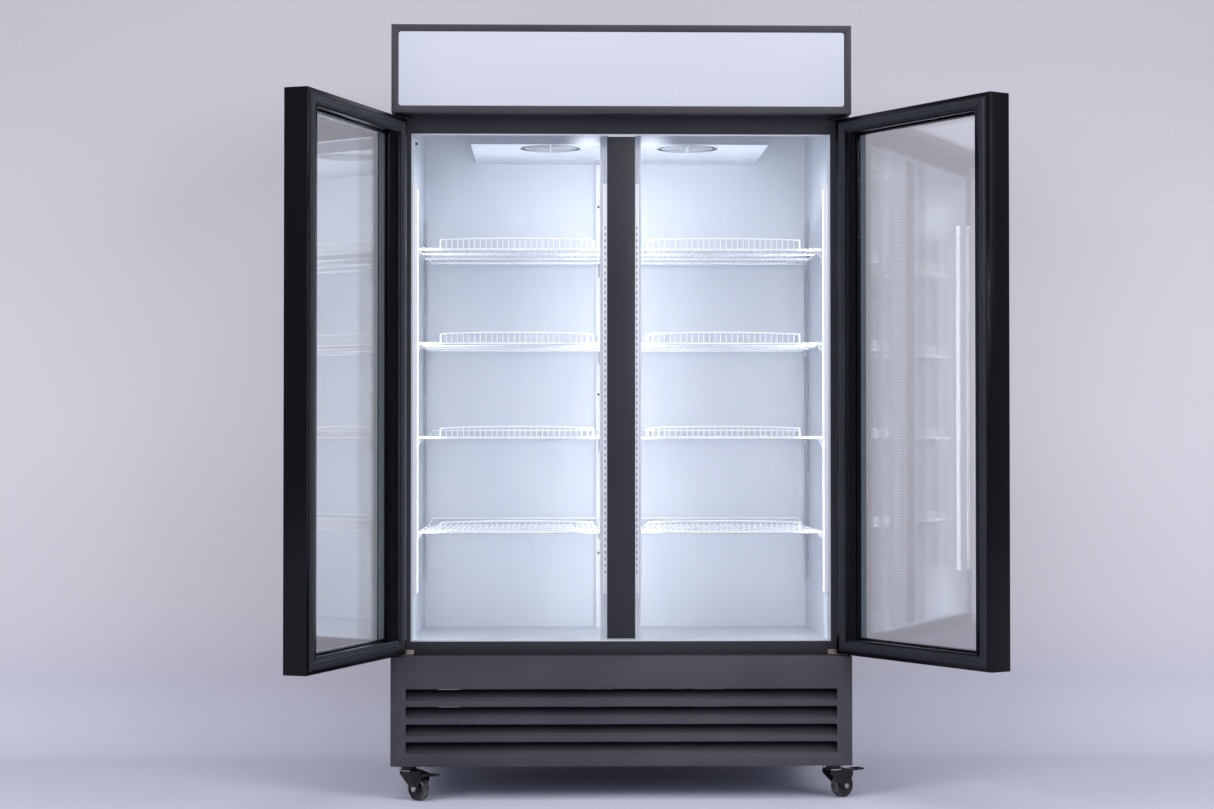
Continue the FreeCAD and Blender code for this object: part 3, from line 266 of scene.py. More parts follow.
# ------------------------------------------------------ cabinet face, centre post cover, louvre blades
# Thinner sheet in a darker satin enamel; the door gaskets close on it.
# The blades sit behind the grille's slots and pick up a little dust.

black_enamel = powder_coat("black_enamel", tone(35, 36, 43), tone(45, 46, 54), 0.46)
softened("front_frame", black_enamel, 0.0006)
softened("mullion_cover", black_enamel, 0.0006)
blade_enamel = powder_coat("blade_enamel", tone(40, 40, 47), tone(60, 60, 66), 0.5)
softened("grille_louvres", blade_enamel, 0.0004)


# ------------------------------------------------------ sign panel
# Opal acrylic sheet lit from behind by the bars in the header, left plain.
# It is a little dimmer towards its ends and edges, where fewer light points reach.

def opal_acrylic():
    f = Finish("opal_acrylic")
    low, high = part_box("sign_panel")
    x, _, z = f.axes()
    middle = (low.z + high.z) / 2
    side = f.steps(abs(x), high.x * 0.72, high.x * 1.02)
    rise = f.steps(abs(z - middle), (high.z - low.z) * 0.25, (high.z - low.z) * 0.52)
    cloud = f.noise(2.4, 2.0)
    colour = f.blend(side * 0.75 + rise * 0.25 + (cloud - 0.5) * 0.3,
                     tone(216, 219, 237), tone(192, 199, 219))
    fine = f.noise(900.0, 1.0)
    return f.coat(Base_Color=tone(150, 153, 162), Emission_Color=colour, Emission_Strength=0.37,
                  Roughness=0.16 + fine * 0.05, Coat_Weight=0.3, Coat_Roughness=0.05,
                  Normal=f.bump(fine, 0.04, 0.0002))


softened("sign_panel", opal_acrylic(), 0.0012, segments=3)


# ------------------------------------------------------ white lining, centre post and air duct cover
# Enamelled steel lining in cool white; the duct cover and the post share its enamel.
# Faint rolling waves and wiped smears break up the flat sheet.

def white_enamel(name, colour, shade, rough):
    f = Finish(name)
    wave = f.noise(5.0, 2.0, (1.0, 1.0, 0.35))
    fine = f.noise(1100.0, 2.0)
    mark = f.noise(26.0, 5.0, (1, 1, 0.3))
    smear = f.steps(mark, 0.62, 0.82)
    return f.coat(Base_Color=f.blend(f.steps(wave, 0.3, 0.8) * 0.6 + smear * 0.25, colour, shade),
                  Roughness=rough + (wave - 0.5) * 0.08 + smear * 0.05,
                  Normal=f.bump(fine * 0.25 + wave * 2.0, 0.12, 0.0006),
                  Coat_Weight=0.12, Coat_Roughness=0.3)


lining_white = white_enamel("lining_enamel", tone(203, 208, 217), tone(190, 196, 207), 0.36)
wear(lining_white, "inner_liner", "air_duct_cover")
softened("mullion_post", lining_white, 0.0008)


# ------------------------------------------------------ light channels and their boards
# Extruded white channels on the side walls and behind the centre post.
# Each carries a board with a close row of small lamps, and those on the walls have clear domes.
# Dark slot marks, painted shade where the slots would open, run down the front of the two centre channels.

SIDES = ((-1, "left"), (1, "right"))
LAMP_PITCH = 0.0083
LAMP_MARGIN = 0.012
CHANNEL_DEPTH = 0.012


def lit_board():
    f = Finish("lit_board")
    z = f.axes()[2]
    row = abs((z % LAMP_PITCH) - LAMP_PITCH / 2)
    lamp = 1 - f.steps(row, 0.0008, 0.0021)
    solder = f.noise(700.0, 2.0)
    return f.coat(Base_Color=f.blend(solder * 0.35, tone(150, 156, 166), tone(122, 128, 140)),
                  Emission_Color=f.blend(lamp, (0.0, 0.0, 0.0), tone(250, 252, 255)),
                  Emission_Strength=0.9, Roughness=0.35)


class Grower:
    """A geometry-nodes tree with named inputs, run on a piece and then made its plain mesh."""

    def __init__(self, name, inputs):
        self.group = bpy.data.node_groups.new(name, "GeometryNodeTree")
        face = self.group.interface
        self.keys = {}
        for label, kind in [("Geometry", "NodeSocketGeometry")] + inputs:
            self.keys[label] = face.new_socket(name=label, in_out="INPUT", socket_type=kind).identifier
        face.new_socket(name="Geometry", in_out="OUTPUT", socket_type="NodeSocketGeometry")
        self.source = self.group.nodes.new("NodeGroupInput")
        self.end = self.group.nodes.new("NodeGroupOutput")

    def inlet(self, label):
        return self.source.outputs[label]

    def add(self, kind, settings, values, out=0):
        node = self.group.nodes.new(kind)
        for key, value in settings.items():
            setattr(node, key, value)
        for key, value in values.items():
            if isinstance(value, bpy.types.NodeSocket):
                self.group.links.new(value, node.inputs[key])
            else:
                node.inputs[key].default_value = value
        return node.outputs[out]

    def close(self, geometry):
        real = self.add("GeometryNodeRealizeInstances", {}, {"Geometry": geometry})
        dressed = self.add("GeometryNodeSetMaterial", {}, {"Geometry": real,
                                                            "Material": self.inlet("Finish")})
        self.group.links.new(dressed, self.end.inputs[0])

    def grow(self, piece, **values):
        step = piece.modifiers.new("grow", "NODES")
        step.node_group = self.group
        for label, value in values.items():
            step[self.keys[label]] = value
        return plain(piece)


row_of = Grower("row_of", [("Count", "NodeSocketInt"), ("Start", "NodeSocketVector"),
                           ("Step", "NodeSocketVector"), ("Finish", "NodeSocketMaterial")])
row_line = row_of.add("GeometryNodeMeshLine", {"mode": "OFFSET"}, {
    "Count": row_of.inlet("Count"), "Start Location": row_of.inlet("Start"),
    "Offset": row_of.inlet("Step")})
row_of.close(row_of.add("GeometryNodeInstanceOnPoints", {}, {
    "Points": row_line, "Instance": row_of.inlet("Geometry")}))


def lathed(profile, axis=(0, 0, 1), centre=(0, 0, 0), sides=16):
    """Turned shape from (radius, height) points, closed at both ends, standing on an axis."""
    work = bmesh.new()
    rings = []
    for radius, height in profile:
        if radius < 1e-7:
            rings.append([work.verts.new((0, 0, height))])
        else:
            rings.append([work.verts.new((radius * math.cos(2 * math.pi * i / sides),
                                          radius * math.sin(2 * math.pi * i / sides), height))
                          for i in range(sides)])
    for below, above in zip(rings, rings[1:]):
        for i in range(sides):
            j = (i + 1) % sides
            corners = [below[i % len(below)], below[j % len(below)],
                       above[j % len(above)], above[i % len(above)]]
            work.faces.new(list(dict.fromkeys(corners)))
    for ring in (rings[0], rings[-1]):
        if len(ring) > 1:
            work.faces.new(ring)
    bmesh.ops.recalc_face_normals(work, faces=work.faces)
    turn = Vector((0, 0, 1)).rotation_difference(Vector(axis)).to_matrix().to_4x4()
    work.transform(Matrix.Translation(centre) @ turn)
    mesh = bpy.data.meshes.new("turned")
    work.to_mesh(mesh)
    work.free()
    return mesh


white_plastic = white_enamel("channel_plastic", tone(232, 235, 239), tone(218, 222, 228), 0.4)
softened("led_channels", white_plastic, 0.0006)
wear(lit_board(), "led_boards")


def lamp_dome():
    f = Finish("lamp_dome")
    grain = f.noise(900.0, 1.0)
    return f.coat(Base_Color=tone(244, 246, 250), Emission_Color=f.blend(
        grain, tone(244, 249, 255), tone(255, 255, 255)), Emission_Strength=10.0, Roughness=0.25)


led_low, led_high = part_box("led_channels")
dome_finish = lamp_dome()
DOME_PROFILE = [(0.0022, -0.0002), (0.0022, 0.0003), (0.0015, 0.0011), (0, 0.0014)]
lamp_count = int((led_high.z - led_low.z - LAMP_MARGIN) / LAMP_PITCH)
for side, name in SIDES:
    wall_face = side * (abs(led_low.x) - CHANNEL_DEPTH)
    y = led_low.y + 0.010
    dome = lathed(DOME_PROFILE, (-side, 0, 0), (wall_face, y, led_low.z + 0.008), 8)
    lamps = new_piece("wall_lamps_" + name, dome, [])
    row_of.grow(lamps, Count=lamp_count, Start=(0, 0, 0), Step=(0, 0, LAMP_PITCH), Finish=dome_finish)
    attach(lamps, "cabinet")


# Dark finish that paints the shade inside slots and holes, with a fine mottle in it.
def dark_recess():
    f = Finish("dark_recess")
    shade_mottle = f.noise(300.0, 2.0)
    return f.coat(Base_Color=f.blend(shade_mottle, tone(58, 61, 70), tone(84, 88, 98)),
                  Roughness=0.6 + (shade_mottle - 0.5) * 0.2)


def slot_mark(width, height, depth):
    """Round-ended slot outline, a thin lens seated on the sheet and facing the front."""
    work = bmesh.new()
    rim, crown = [], []
    for i in range(12):
        a = 2 * math.pi * i / 12
        lift = (height - width) / 2 * (1 if math.sin(a) > 0 else -1)
        x, z = width / 2 * math.cos(a), width / 2 * math.sin(a) + lift
        rim.append(work.verts.new((x, 0, z)))
        crown.append(work.verts.new((x * 0.8, -depth, z * 0.94)))
    for i in range(12):
        j = (i + 1) % 12
        work.faces.new((rim[i], rim[j], crown[j], crown[i]))
    work.faces.new(crown)
    work.faces.new(rim)
    bmesh.ops.recalc_face_normals(work, faces=work.faces)
    mesh = bpy.data.meshes.new("slot_mark")
    work.to_mesh(mesh)
    work.free()
    return mesh


# The slot marks carry painted shade: dark lenses where open slots would be.
recess = dark_recess()
SLOT_STEP = 0.0174
SLOT_COUNT = 54
SLOT_FOOT = 0.60
SLOT_X = 0.0425
post_front = led_low.y + 0.002
for side, name in SIDES:
    slots = new_piece("channel_slots_" + name, slot_mark(0.0024, 0.0080, 0.0002), [])
    row_of.grow(slots, Count=SLOT_COUNT, Start=(side * SLOT_X, post_front, SLOT_FOOT),
                Step=(0, 0, SLOT_STEP), Finish=recess)
    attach(slots, "cabinet")


# ------------------------------------------------------ shelf uprights and clips
# Slotted steel uprights, white near the centre post and greyer at the side walls, where the grey is painted
# shade.
# Bright plated clips hook into the slots; plating shows cloudy tone and a faint brush.

OUTER_FROM = 0.31


def upright_enamel():
    f = Finish("upright_enamel")
    x = f.axes()[0]
    cloud = f.noise(30.0, 4.0, (1, 1, 0.3))
    # Painted shade: uprights beyond OUTER_FROM take a greyer copy of the enamel.
    side = f.steps(abs(x), OUTER_FROM - 0.01, OUTER_FROM)
    colour = f.blend(side, tone(216, 220, 228), tone(150, 154, 163))
    return f.coat(Base_Color=f.blend(f.steps(cloud, 0.4, 0.8) * 0.3, colour, tone(176, 178, 184)),
                  Roughness=0.34 + (cloud - 0.5) * 0.16, Normal=f.bump(cloud, 0.08, 0.0003))


wear(upright_enamel(), "shelf_uprights")


def bright_plate(name, colour, shade, rough):
    f = Finish(name)
    cloud = f.noise(60.0, 4.0)
    brush = f.noise(160.0, 3.0, (1, 1, 9))
    return f.coat(Base_Color=f.blend(f.steps(cloud, 0.3, 0.7), colour, shade), Metallic=0.9,
                  Roughness=rough + (brush - 0.5) * 0.2, Normal=f.bump(brush, 0.08, 0.0002))


zinc_plate = bright_plate("zinc_plate", tone(196, 193, 190), tone(164, 160, 160), 0.32)
softened("shelf_clips", bright_plate("clip_plate", tone(224, 227, 232), tone(196, 200, 208), 0.3), 0.0004)


# ------------------------------------------------------ wire shelves
# Welded wire in a thick white dipped coat: cross bars, close depth wires, a low fence in front
# with an arched rail, and one raised stop wire at the back.

def dipped_coat():
    f = Finish("dipped_coat")
    pool = f.noise(90.0, 3.0)
    fine = f.noise(1500.0, 1.0)
    return f.coat(Base_Color=f.blend(f.steps(pool, 0.35, 0.75), tone(246, 248, 252), tone(230, 234, 241)),
                  Roughness=0.28 + (pool - 0.5) * 0.12, Coat_Weight=0.4, Coat_Roughness=0.15,
                  Normal=f.bump(pool + fine * 0.2, 0.15, 0.0004))


def tube(path, radius, sides=8):
    """Round wire along points, closed at both ends."""
    work = bmesh.new()
    rings = []
    points = [Vector(p) for p in path]
    for i, p in enumerate(points):
        ahead = (points[min(i + 1, len(points) - 1)] - points[max(i - 1, 0)]).normalized()
        side = Vector((0, 1, 0)) if abs(ahead.y) < 0.5 else Vector((0, 0, 1))
        side = (side - ahead * side.dot(ahead)).normalized()
        up = ahead.cross(side)
        rings.append([work.verts.new(p + radius * (math.cos(a) * side + math.sin(a) * up))
                      for a in (2 * math.pi * k / sides for k in range(sides))])
    for below, above in zip(rings, rings[1:]):
        for i in range(sides):
            j = (i + 1) % sides
            work.faces.new((below[i], below[j], above[j], above[i]))
    work.faces.new(rings[0])
    work.faces.new(rings[-1])
    bmesh.ops.recalc_face_normals(work, faces=work.faces)
    mesh = bpy.data.meshes.new("wire")
    work.to_mesh(mesh)
    work.free()
    return mesh


def merged(name, parts, materials):
    """One piece from several pieces or meshes; each part keeps its own finish by index."""
    work = bmesh.new()
    for mesh, index in parts:
        start = len(work.faces)
        work.from_mesh(mesh)
        work.faces.ensure_lookup_table()
        for face in work.faces[start:]:
            face.material_index = index
    mesh = bpy.data.meshes.new(name)
    work.to_mesh(mesh)
    work.free()
    return new_piece(name, mesh, materials)


def rack_mesh():
    """Left-hand shelf at height zero, inside the lowest left CAD shelf's box."""
    low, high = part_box("shelf_left_1")
    bar, side_bar, thin, pitch, sink = 0.003, 0.0026, 0.0015, 0.0153, 0.0006
    fence_top, knee_low, knee, crown, rise = 0.0262, 0.0225, 0.0252, 0.026, 0.004
    x0, x1 = low.x + bar, high.x - bar
    y0 = low.y + bar + 2 * thin - sink + 0.0009
    y1 = high.y - bar
    parts = []
    for share in (0, 1 / 3, 2 / 3, 1):
        y = y0 + (y1 - y0) * share
        parts.append(tube([(low.x, y, 0), (high.x, y, 0)], bar, 10))
    for x in (x0, x1):
        parts.append(tube([(x, y0, 0), (x, y1, 0)], side_bar, 10))
    count = int((x1 - x0 - 1.2 * pitch) // pitch) + 1
    first = (x0 + x1) / 2 - (count - 1) * pitch / 2
    deck = new_piece("deck_wires", tube([(0, y0 - bar + sink, 0), (0, y1 + bar / 2, 0)], thin, 8), [])
    row_of.grow(deck, Count=count, Start=(first, 0, bar + thin - sink), Step=(pitch, 0, 0), Finish=None)
    inside = [first + i * pitch for i in range(count) if x0 + 0.05 < first + i * pitch < x1 - 0.05]
    fence_y = y0 - bar - thin + sink
    post = new_piece("fence_posts", tube([(0, fence_y, -bar + sink), (0, fence_y, fence_top)], thin, 8), [])
    row_of.grow(post, Count=len(inside), Start=(inside[0], 0, 0), Step=(pitch, 0, 0), Finish=None)
    middle, half = (inside[0] + inside[-1]) / 2, (inside[-1] - inside[0]) / 2
    rail = [(inside[0], fence_y, -0.001), (inside[0], fence_y, knee_low),
            (inside[0] + 0.0012, fence_y, knee)]
    for i in range(1, 24):
        x = inside[0] + 2 * half * i / 24
        rail.append((x, fence_y, crown + rise * (1 - ((x - middle) / half) ** 2)))
    rail += [(inside[-1] - 0.0012, fence_y, knee), (inside[-1], fence_y, knee_low),
             (inside[-1], fence_y, -0.001)]
    parts.append(tube(rail, 0.0022, 8))
    stop = [(x0, y1 + sink, 0)]
    for i in range(7):
        a = math.pi / 2 * i / 6
        stop.append((x0 + 0.018 - 0.008 * math.cos(a), y1 + sink, 0.014 + 0.008 * math.sin(a)))
    stop += [(x0 + x1 - x, y, z) for x, y, z in reversed(stop)]
    parts.append(tube(stop, 0.0019, 8))
    whole = merged("rack", [(p, 0) for p in parts] + [(deck.data, 0), (post.data, 0)], [])
    mesh = whole.data
    for spare in (deck, post, whole):
        bpy.data.objects.remove(spare)
    return mesh


wire_finish = dipped_coat()
rack = rack_mesh()
for side in ("left", "right"):
    for level in range(1, 5):
        node = "shelf_%s_%d" % (side, level)
        mesh = rack.copy()
        if side == "right":
            mesh.transform(Matrix.Scale(-1, 4, (1, 0, 0)))
            mesh.flip_normals()
        mesh.transform(Matrix.Translation((0, 0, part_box(node)[0].z + 0.003)))
        smooth(mesh, 50)
        shelf = new_piece("wire_" + node, mesh, [wire_finish])
        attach(shelf, "cabinet")
        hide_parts(node)


# ------------------------------------------------------ small fittings inside the cold space
# A moulded temperature-probe clip high on the left wall, with a dark sensing tip.
# Its foot is sunk a millimetre into the wall sheet, so no gap shows behind it.

def moulded(name, colour, shade, rough):
    f = Finish(name)
    flow = f.noise(14.0, 3.0)
    grain = f.noise(1300.0, 2.0)
    return f.coat(Base_Color=f.blend(f.steps(flow, 0.3, 0.75) * 0.7, colour, shade),
                  Roughness=rough + (flow - 0.5) * 0.12, Normal=f.bump(grain, 0.2, 0.0003))


liner_low, liner_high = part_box("inner_liner")
wall_x = liner_low.x + 0.018 - 0.001
probe_seat = (wall_x, liner_low.y + 0.024, 1.748)
probe = merged("probe_clip", [
    (lathed([(0.011, 0), (0.011, 0.003), (0.0095, 0.0045), (0.006, 0.005), (0, 0.005)],
            (1, 0, 0), probe_seat, 28), 0),
    (lathed([(0.0042, 0.0045), (0.0042, 0.010), (0.0032, 0.0115), (0, 0.0118)],
            (1, 0, 0), probe_seat, 20), 1)],
    [moulded("clip_plastic", tone(214, 218, 224), tone(198, 203, 210), 0.4),
     moulded("probe_tip", tone(70, 74, 82), tone(52, 55, 62), 0.35)])
smooth(probe.data)
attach(probe, "cabinet")


# ------------------------------------------------------ doors
# Each door is a deep black extruded frame with mitred corners round a sealed glass unit.
# The rear face carries the magnetic gasket, and the black coat has fine handling scratches.

def door_place(side):
    """Turns a shape made with the left door shut into that door's place at rest."""
    hinge = joints["door_%s_hinge" % side]
    pivot = Vector(hinge["pos_m"])
    turn = Matrix.Rotation(math.radians(-hinge["range_deg"][0]), 4, Vector(hinge["axis"]))
    whole = Matrix.Translation(pivot) @ turn @ Matrix.Translation(-pivot)
    flip = Matrix.Scale(-1, 4, (1, 0, 0)) if side == "right" else Matrix.Identity(4)
    return whole @ flip


DOOR_LEFT, DOOR_RIGHT = -0.607, -0.002
HINGE_X = -0.598
DOOR_FOOT, DOOR_HEAD = 0.385, 1.806
DOOR_FRONT, DOOR_REAR = -0.360, -0.298


def frame_gloss(side):
    f = Finish("door_frame_gloss_" + side)
    hinge = joints["door_%s_hinge" % side]
    turn = math.radians(-hinge["range_deg"][0]) * (1 if side == "right" else -1)
    hand = -1 if side == "right" else 1
    x, y, z = f.axes()
    px, py = hinge["pos_m"][0], hinge["pos_m"][1]
    along = ((x - px) * math.cos(turn) + (y - py) * math.sin(turn)) * hand
    free = (DOOR_RIGHT - HINGE_X) - along
    root = along + (HINGE_X - DOOR_LEFT)
    foot = z - DOOR_FOOT
    head = DOOR_HEAD - z
    across = f.add("ShaderNodeMath", {"operation": "MINIMUM"}, {0: free, 1: root})
    upright = f.add("ShaderNodeMath", {"operation": "MINIMUM"}, {0: foot, 1: head})
    mitre = 1 - f.steps(abs(across - upright), 0.0001, 0.0006)
    in_corner = (across < 0.075) * (upright < 0.06)
    line = mitre * in_corner
    scratch = f.noise(70.0, 6.0, (1, 1, 0.06), 0.7)
    scuff = f.steps(scratch, 0.62, 0.74)
    speck = f.steps(f.noise(330.0, 3.0), 0.70, 0.78)
    peel = f.noise(60.0, 2.0, (1, 1, 0.15))
    colour = f.blend(scuff * 0.35 + speck * 0.4, tone(5, 6, 10), tone(26, 30, 39))
    return f.coat(Base_Color=colour, Roughness=0.2 + scuff * 0.2 + speck * 0.15,
                  Specular_IOR_Level=0.2,
                  Normal=f.bump(peel * 0.6 - scuff * 0.12 - line * 1.5, 0.3, 0.0006))


def mitred(outline, left, right, foot, head):
    """Closed outline of (side inset, rail inset, depth) swept round a rectangle with mitred corners."""
    work = bmesh.new()
    corners = []
    for sx, sz in ((0, 0), (1, 0), (1, 1), (0, 1)):
        corners.append([work.verts.new((right - a if sx else left + a, y, head - b if sz else foot + b))
                        for a, b, y in outline])
    count = len(outline)
    for here, there in zip(corners, corners[1:] + corners[:1]):
        for i in range(count):
            j = (i + 1) % count
            work.faces.new((here[i], here[j], there[j], there[i]))
    bmesh.ops.recalc_face_normals(work, faces=work.faces)
    mesh = bpy.data.meshes.new("mitred")
    work.to_mesh(mesh)
    work.free()
    return mesh


def set_in_door(mesh, side):
    mesh.transform(door_place(side))
    if side == "right":
        mesh.flip_normals()
    return mesh


def soft_rubber():
    f = Finish("gasket_rubber")
    cloud = f.noise(9.0, 4.0)
    streak = f.noise(120.0, 3.0, (1, 1, 0.08))
    bloom = f.steps(cloud, 0.45, 0.8)
    return f.coat(Base_Color=f.blend(bloom * 0.6, tone(30, 32, 39), tone(46, 49, 58)),
                  Roughness=0.5 + bloom * 0.16 + (streak - 0.5) * 0.14,
                  Normal=f.bump(streak + cloud, 0.3, 0.0005), Specular_IOR_Level=0.4)


GASKET_LINE = [(0.0, 0.0), (0.0, 1.6), (0.7, 2.3), (1.8, 2.3), (2.4, 1.6), (3.6, 1.7), (4.6, 3.2),
               (5.2, 4.9), (6.2, 5.9), (7.6, 6.2), (11.4, 6.2), (12.2, 5.5), (13.0, 5.5), (13.8, 6.2),
               (18.2, 6.2), (19.8, 5.8), (20.8, 4.8), (21.4, 3.2), (22.4, 1.7), (23.4, 1.6),
               (24.0, 2.2), (25.2, 2.2), (26.0, 1.5), (26.0, 0.0)]


def gasket_mesh():
    outline = [(0.014 + u / 1000, 0.010 + u / 1000, DOOR_REAR + v / 1000) for u, v in GASKET_LINE]
    return mitred(outline, DOOR_LEFT, DOOR_RIGHT, DOOR_FOOT, DOOR_HEAD)


def reveal_bead_mesh():
    """Bead that holds the glass from the inside, run round the rear window edge."""
    depth = glass_rear + 0.0002
    line = [(0.0, 0.0), (0.0, 9.0), (-1.2, 10.4), (-2.6, 10.8), (-3.6, 10.2), (-4.2, 8.6), (-4.6, 2.0),
            (-5.2, 0.0)]
    outline = [(0.056 - u / 1000, 0.041 - u / 1000, depth + v / 1000) for u, v in line]
    return mitred(outline, DOOR_LEFT, DOOR_RIGHT, DOOR_FOOT, DOOR_HEAD)


HEAD_ON_MIRROR = 0.1
GRAZING_MIRROR = 0.89


def clear_glass():
    f = Finish("clear_glass")
    facing = f.add("ShaderNodeLayerWeight", values={"Blend": 0.5}, out="Facing")
    mirror = HEAD_ON_MIRROR + GRAZING_MIRROR * facing ** 4.2
    smear = f.steps(f.noise(3.0, 5.0, (1, 1, 0.4)), 0.5, 0.85)
    tint = f.blend(smear, tone(249, 251, 251), tone(243, 247, 248))
    through = f.add("ShaderNodeBsdfTransparent", values={"Color": tone(255, 255, 255)})
    back = f.add("ShaderNodeBsdfPrincipled", values={
        "Base Color": tint, "Metallic": 1.0, "Roughness": 0.004 + smear * 0.012})
    both = f.add("ShaderNodeMixShader", values={0: mirror, 1: through, 2: back})
    f.add("ShaderNodeOutputMaterial", values={"Surface": both})
    return f.material


def spacer_metal():
    f = Finish("spacer_metal")
    z = f.axes()[2]
    hole_pitch = 0.006
    # The dark spots at the perforations are painted shade in the holes.
    holes = f.steps(abs((z % hole_pitch) - hole_pitch / 2), 0.0004, 0.0009)
    grain = f.noise(400.0, 3.0)
    return f.coat(Base_Color=f.blend(holes, tone(92, 104, 112), tone(150, 162, 170)), Metallic=0.8,
                  Roughness=0.34 + (grain - 0.5) * 0.2, Normal=f.bump(holes, 0.3, 0.0004))


GLASS_SETBACK, PANE, GAP = 0.002, 0.004, 0.016
glass_rear = DOOR_FRONT + GLASS_SETBACK + PANE + GAP + PANE
rubber = soft_rubber()
glass = clear_glass()
spacer = spacer_metal()
for side in ("left", "right"):
    name = "door_" + side
    gloss = frame_gloss(side)
    softened(name + "_frame", gloss, 0.0016, segments=3)
    seal = new_piece(name + "_seal", set_in_door(gasket_mesh(), side), [rubber])
    smooth(seal.data, 40)
    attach(seal, name)
    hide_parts(name + "_gasket")
    bead = new_piece(name + "_bead", set_in_door(reveal_bead_mesh(), side), [gloss])
    smooth(bead.data, 40)
    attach(bead, name)
    wear(glass, name + "_glass")
    wear(spacer, name + "_spacer")


# ------------------------------------------------------ hinges and screws
# Hinge plates: yellowish passivated zinc below, black enamel above, and domed cross-recess screws.
# Hex bolts hold the castor plates.

BETWEEN_HINGES = 1.2


def passivated():
    f = Finish("passivated_zinc")
    drift = f.noise(38.0, 3.0)
    brush = f.noise(260.0, 3.0, (8, 1, 1))
    colour = f.add("ShaderNodeValToRGB", {"stops": [
        (0.3, tone(140, 128, 122)), (0.7, tone(172, 158, 148)), (0.5, tone(156, 146, 144))]},
        {"Fac": drift})
    upper = f.axes()[2] > BETWEEN_HINGES
    return f.coat(Base_Color=f.blend(upper, colour, tone(30, 31, 37)), Metallic=0.85 - 0.75 * upper,
                  Roughness=0.34 + (brush - 0.5) * 0.2, Normal=f.bump(brush, 0.08, 0.0002))


softened("hinge_brackets", passivated(), 0.0007)


def screw_mesh(radius, height):
    """Domed head with a cross recess sunk in it, seated at the origin and facing +Z."""
    work = bmesh.new()
    head = lathed([(radius, 0), (radius, height * 0.35), (radius * 0.86, height * 0.72),
                   (radius * 0.6, height * 0.95), (radius * 0.3, height), (0, height)], sides=20)
    work.from_mesh(head)
    for face in work.faces:
        centre = face.calc_center_median()
        arm = min(abs(centre.x), abs(centre.y)) < radius * 0.13
        face.material_index = 1 if centre.z > height * 0.9 and arm else 0
    for v in work.verts:
        if v.co.z > height * 0.93 and v.co.xy.length < radius * 0.35:
            v.co.z -= height * 0.45
    mesh = bpy.data.meshes.new("screw")
    work.to_mesh(mesh)
    work.free()
    return mesh


set_on = Grower("set_on", [("Template", "NodeSocketObject"), ("Turn", "NodeSocketVector"),
                           ("Finish", "NodeSocketMaterial")])
template = set_on.add("GeometryNodeObjectInfo", {"transform_space": "ORIGINAL"},
                      {"Object": set_on.inlet("Template")}, out="Geometry")
set_on.close(set_on.add("GeometryNodeInstanceOnPoints", {}, {
    "Points": set_on.inlet("Geometry"), "Instance": template, "Rotation": set_on.inlet("Turn")}))


def fastened(name, template_mesh, places, turn, finish):
    pattern = new_piece(name + "_pattern", template_mesh, [])
    mesh = bpy.data.meshes.new(name)
    mesh.from_pydata([tuple(p) for p in places], [], [])
    piece = new_piece(name, mesh, [])
    set_on.grow(piece, Template=pattern, Turn=turn, Finish=finish)
    bpy.data.objects.remove(pattern)
    smooth(piece.data, 30)
    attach(piece, "cabinet")
    return piece


CASTORS = ("fl", "fr", "rl", "rr")
header_low, header_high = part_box("header_box")
COLUMN_X = 0.051
COLUMN_SCREW_HEIGHTS = (0.6235, 1.0863, 1.6351)
HEADER_SCREW_X = 0.508
BOLT_OFFSET = 0.023
column_y = liner_high.y - 0.0015 - 0.014
header_places = [(x, header_low.y + 0.018, header_high.z) for x in (-HEADER_SCREW_X, 0, HEADER_SCREW_X)]
top_screws = fastened("header_screws", screw_mesh(0.0045, 0.0022), header_places, (0, 0, 0), zinc_plate)
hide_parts("fasteners")
column_places = [(x, column_y, z) for x in (-COLUMN_X, COLUMN_X) for z in COLUMN_SCREW_HEIGHTS]
# The column screws take the same painted-shade dark finish, so they show as dark spots.
fastened("column_screws", screw_mesh(0.0036, 0.002), column_places, (math.pi / 2, 0, 0), recess)
plate_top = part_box("castor_plates")[1].z
bolt_places = []
for key in CASTORS:
    swivel = joints["castor_%s_swivel" % key]["pos_m"]
    bolt_places += [(swivel[0] + sx, swivel[1] + sy, plate_top - 0.0025)
                    for sx in (-BOLT_OFFSET, BOLT_OFFSET) for sy in (-BOLT_OFFSET, BOLT_OFFSET)]
bolt_profile = [(0.0078, 0), (0.0078, -0.001), (0.005, -0.0011), (0.005, -0.0046),
                (0.0045, -0.005), (0, -0.005)]
fastened("castor_bolts", lathed(bolt_profile, sides=6), bolt_places, (0, 0, 0), zinc_plate)


# ------------------------------------------------------ castors
# Pressed black steel forks with plated axle nuts, grey tread on a black hub.
# The front pair carries brake pedals with a ribbed foot plate.

def pressed_black(name):
    f = Finish(name)
    cloud = f.noise(40.0, 4.0)
    worn = f.steps(f.noise(150.0, 4.0), 0.6, 0.75)
    return f.coat(Base_Color=f.blend(worn * 0.4 + cloud * 0.3, tone(13, 13, 16), tone(48, 48, 53)),
                  Roughness=0.34 + worn * 0.2, Metallic=0.3, Normal=f.bump(cloud - worn * 0.3, 0.15, 0.0004))


def tread_rubber():
    f = Finish("tread_rubber")
    dust = f.steps(f.noise(70.0, 5.0), 0.4, 0.7)
    pit = f.noise(900.0, 2.0)
    return f.coat(Base_Color=f.blend(dust * 0.7, tone(50, 50, 54), tone(108, 107, 110)),
                  Roughness=0.55 + dust * 0.2, Normal=f.bump(pit, 0.3, 0.0003))


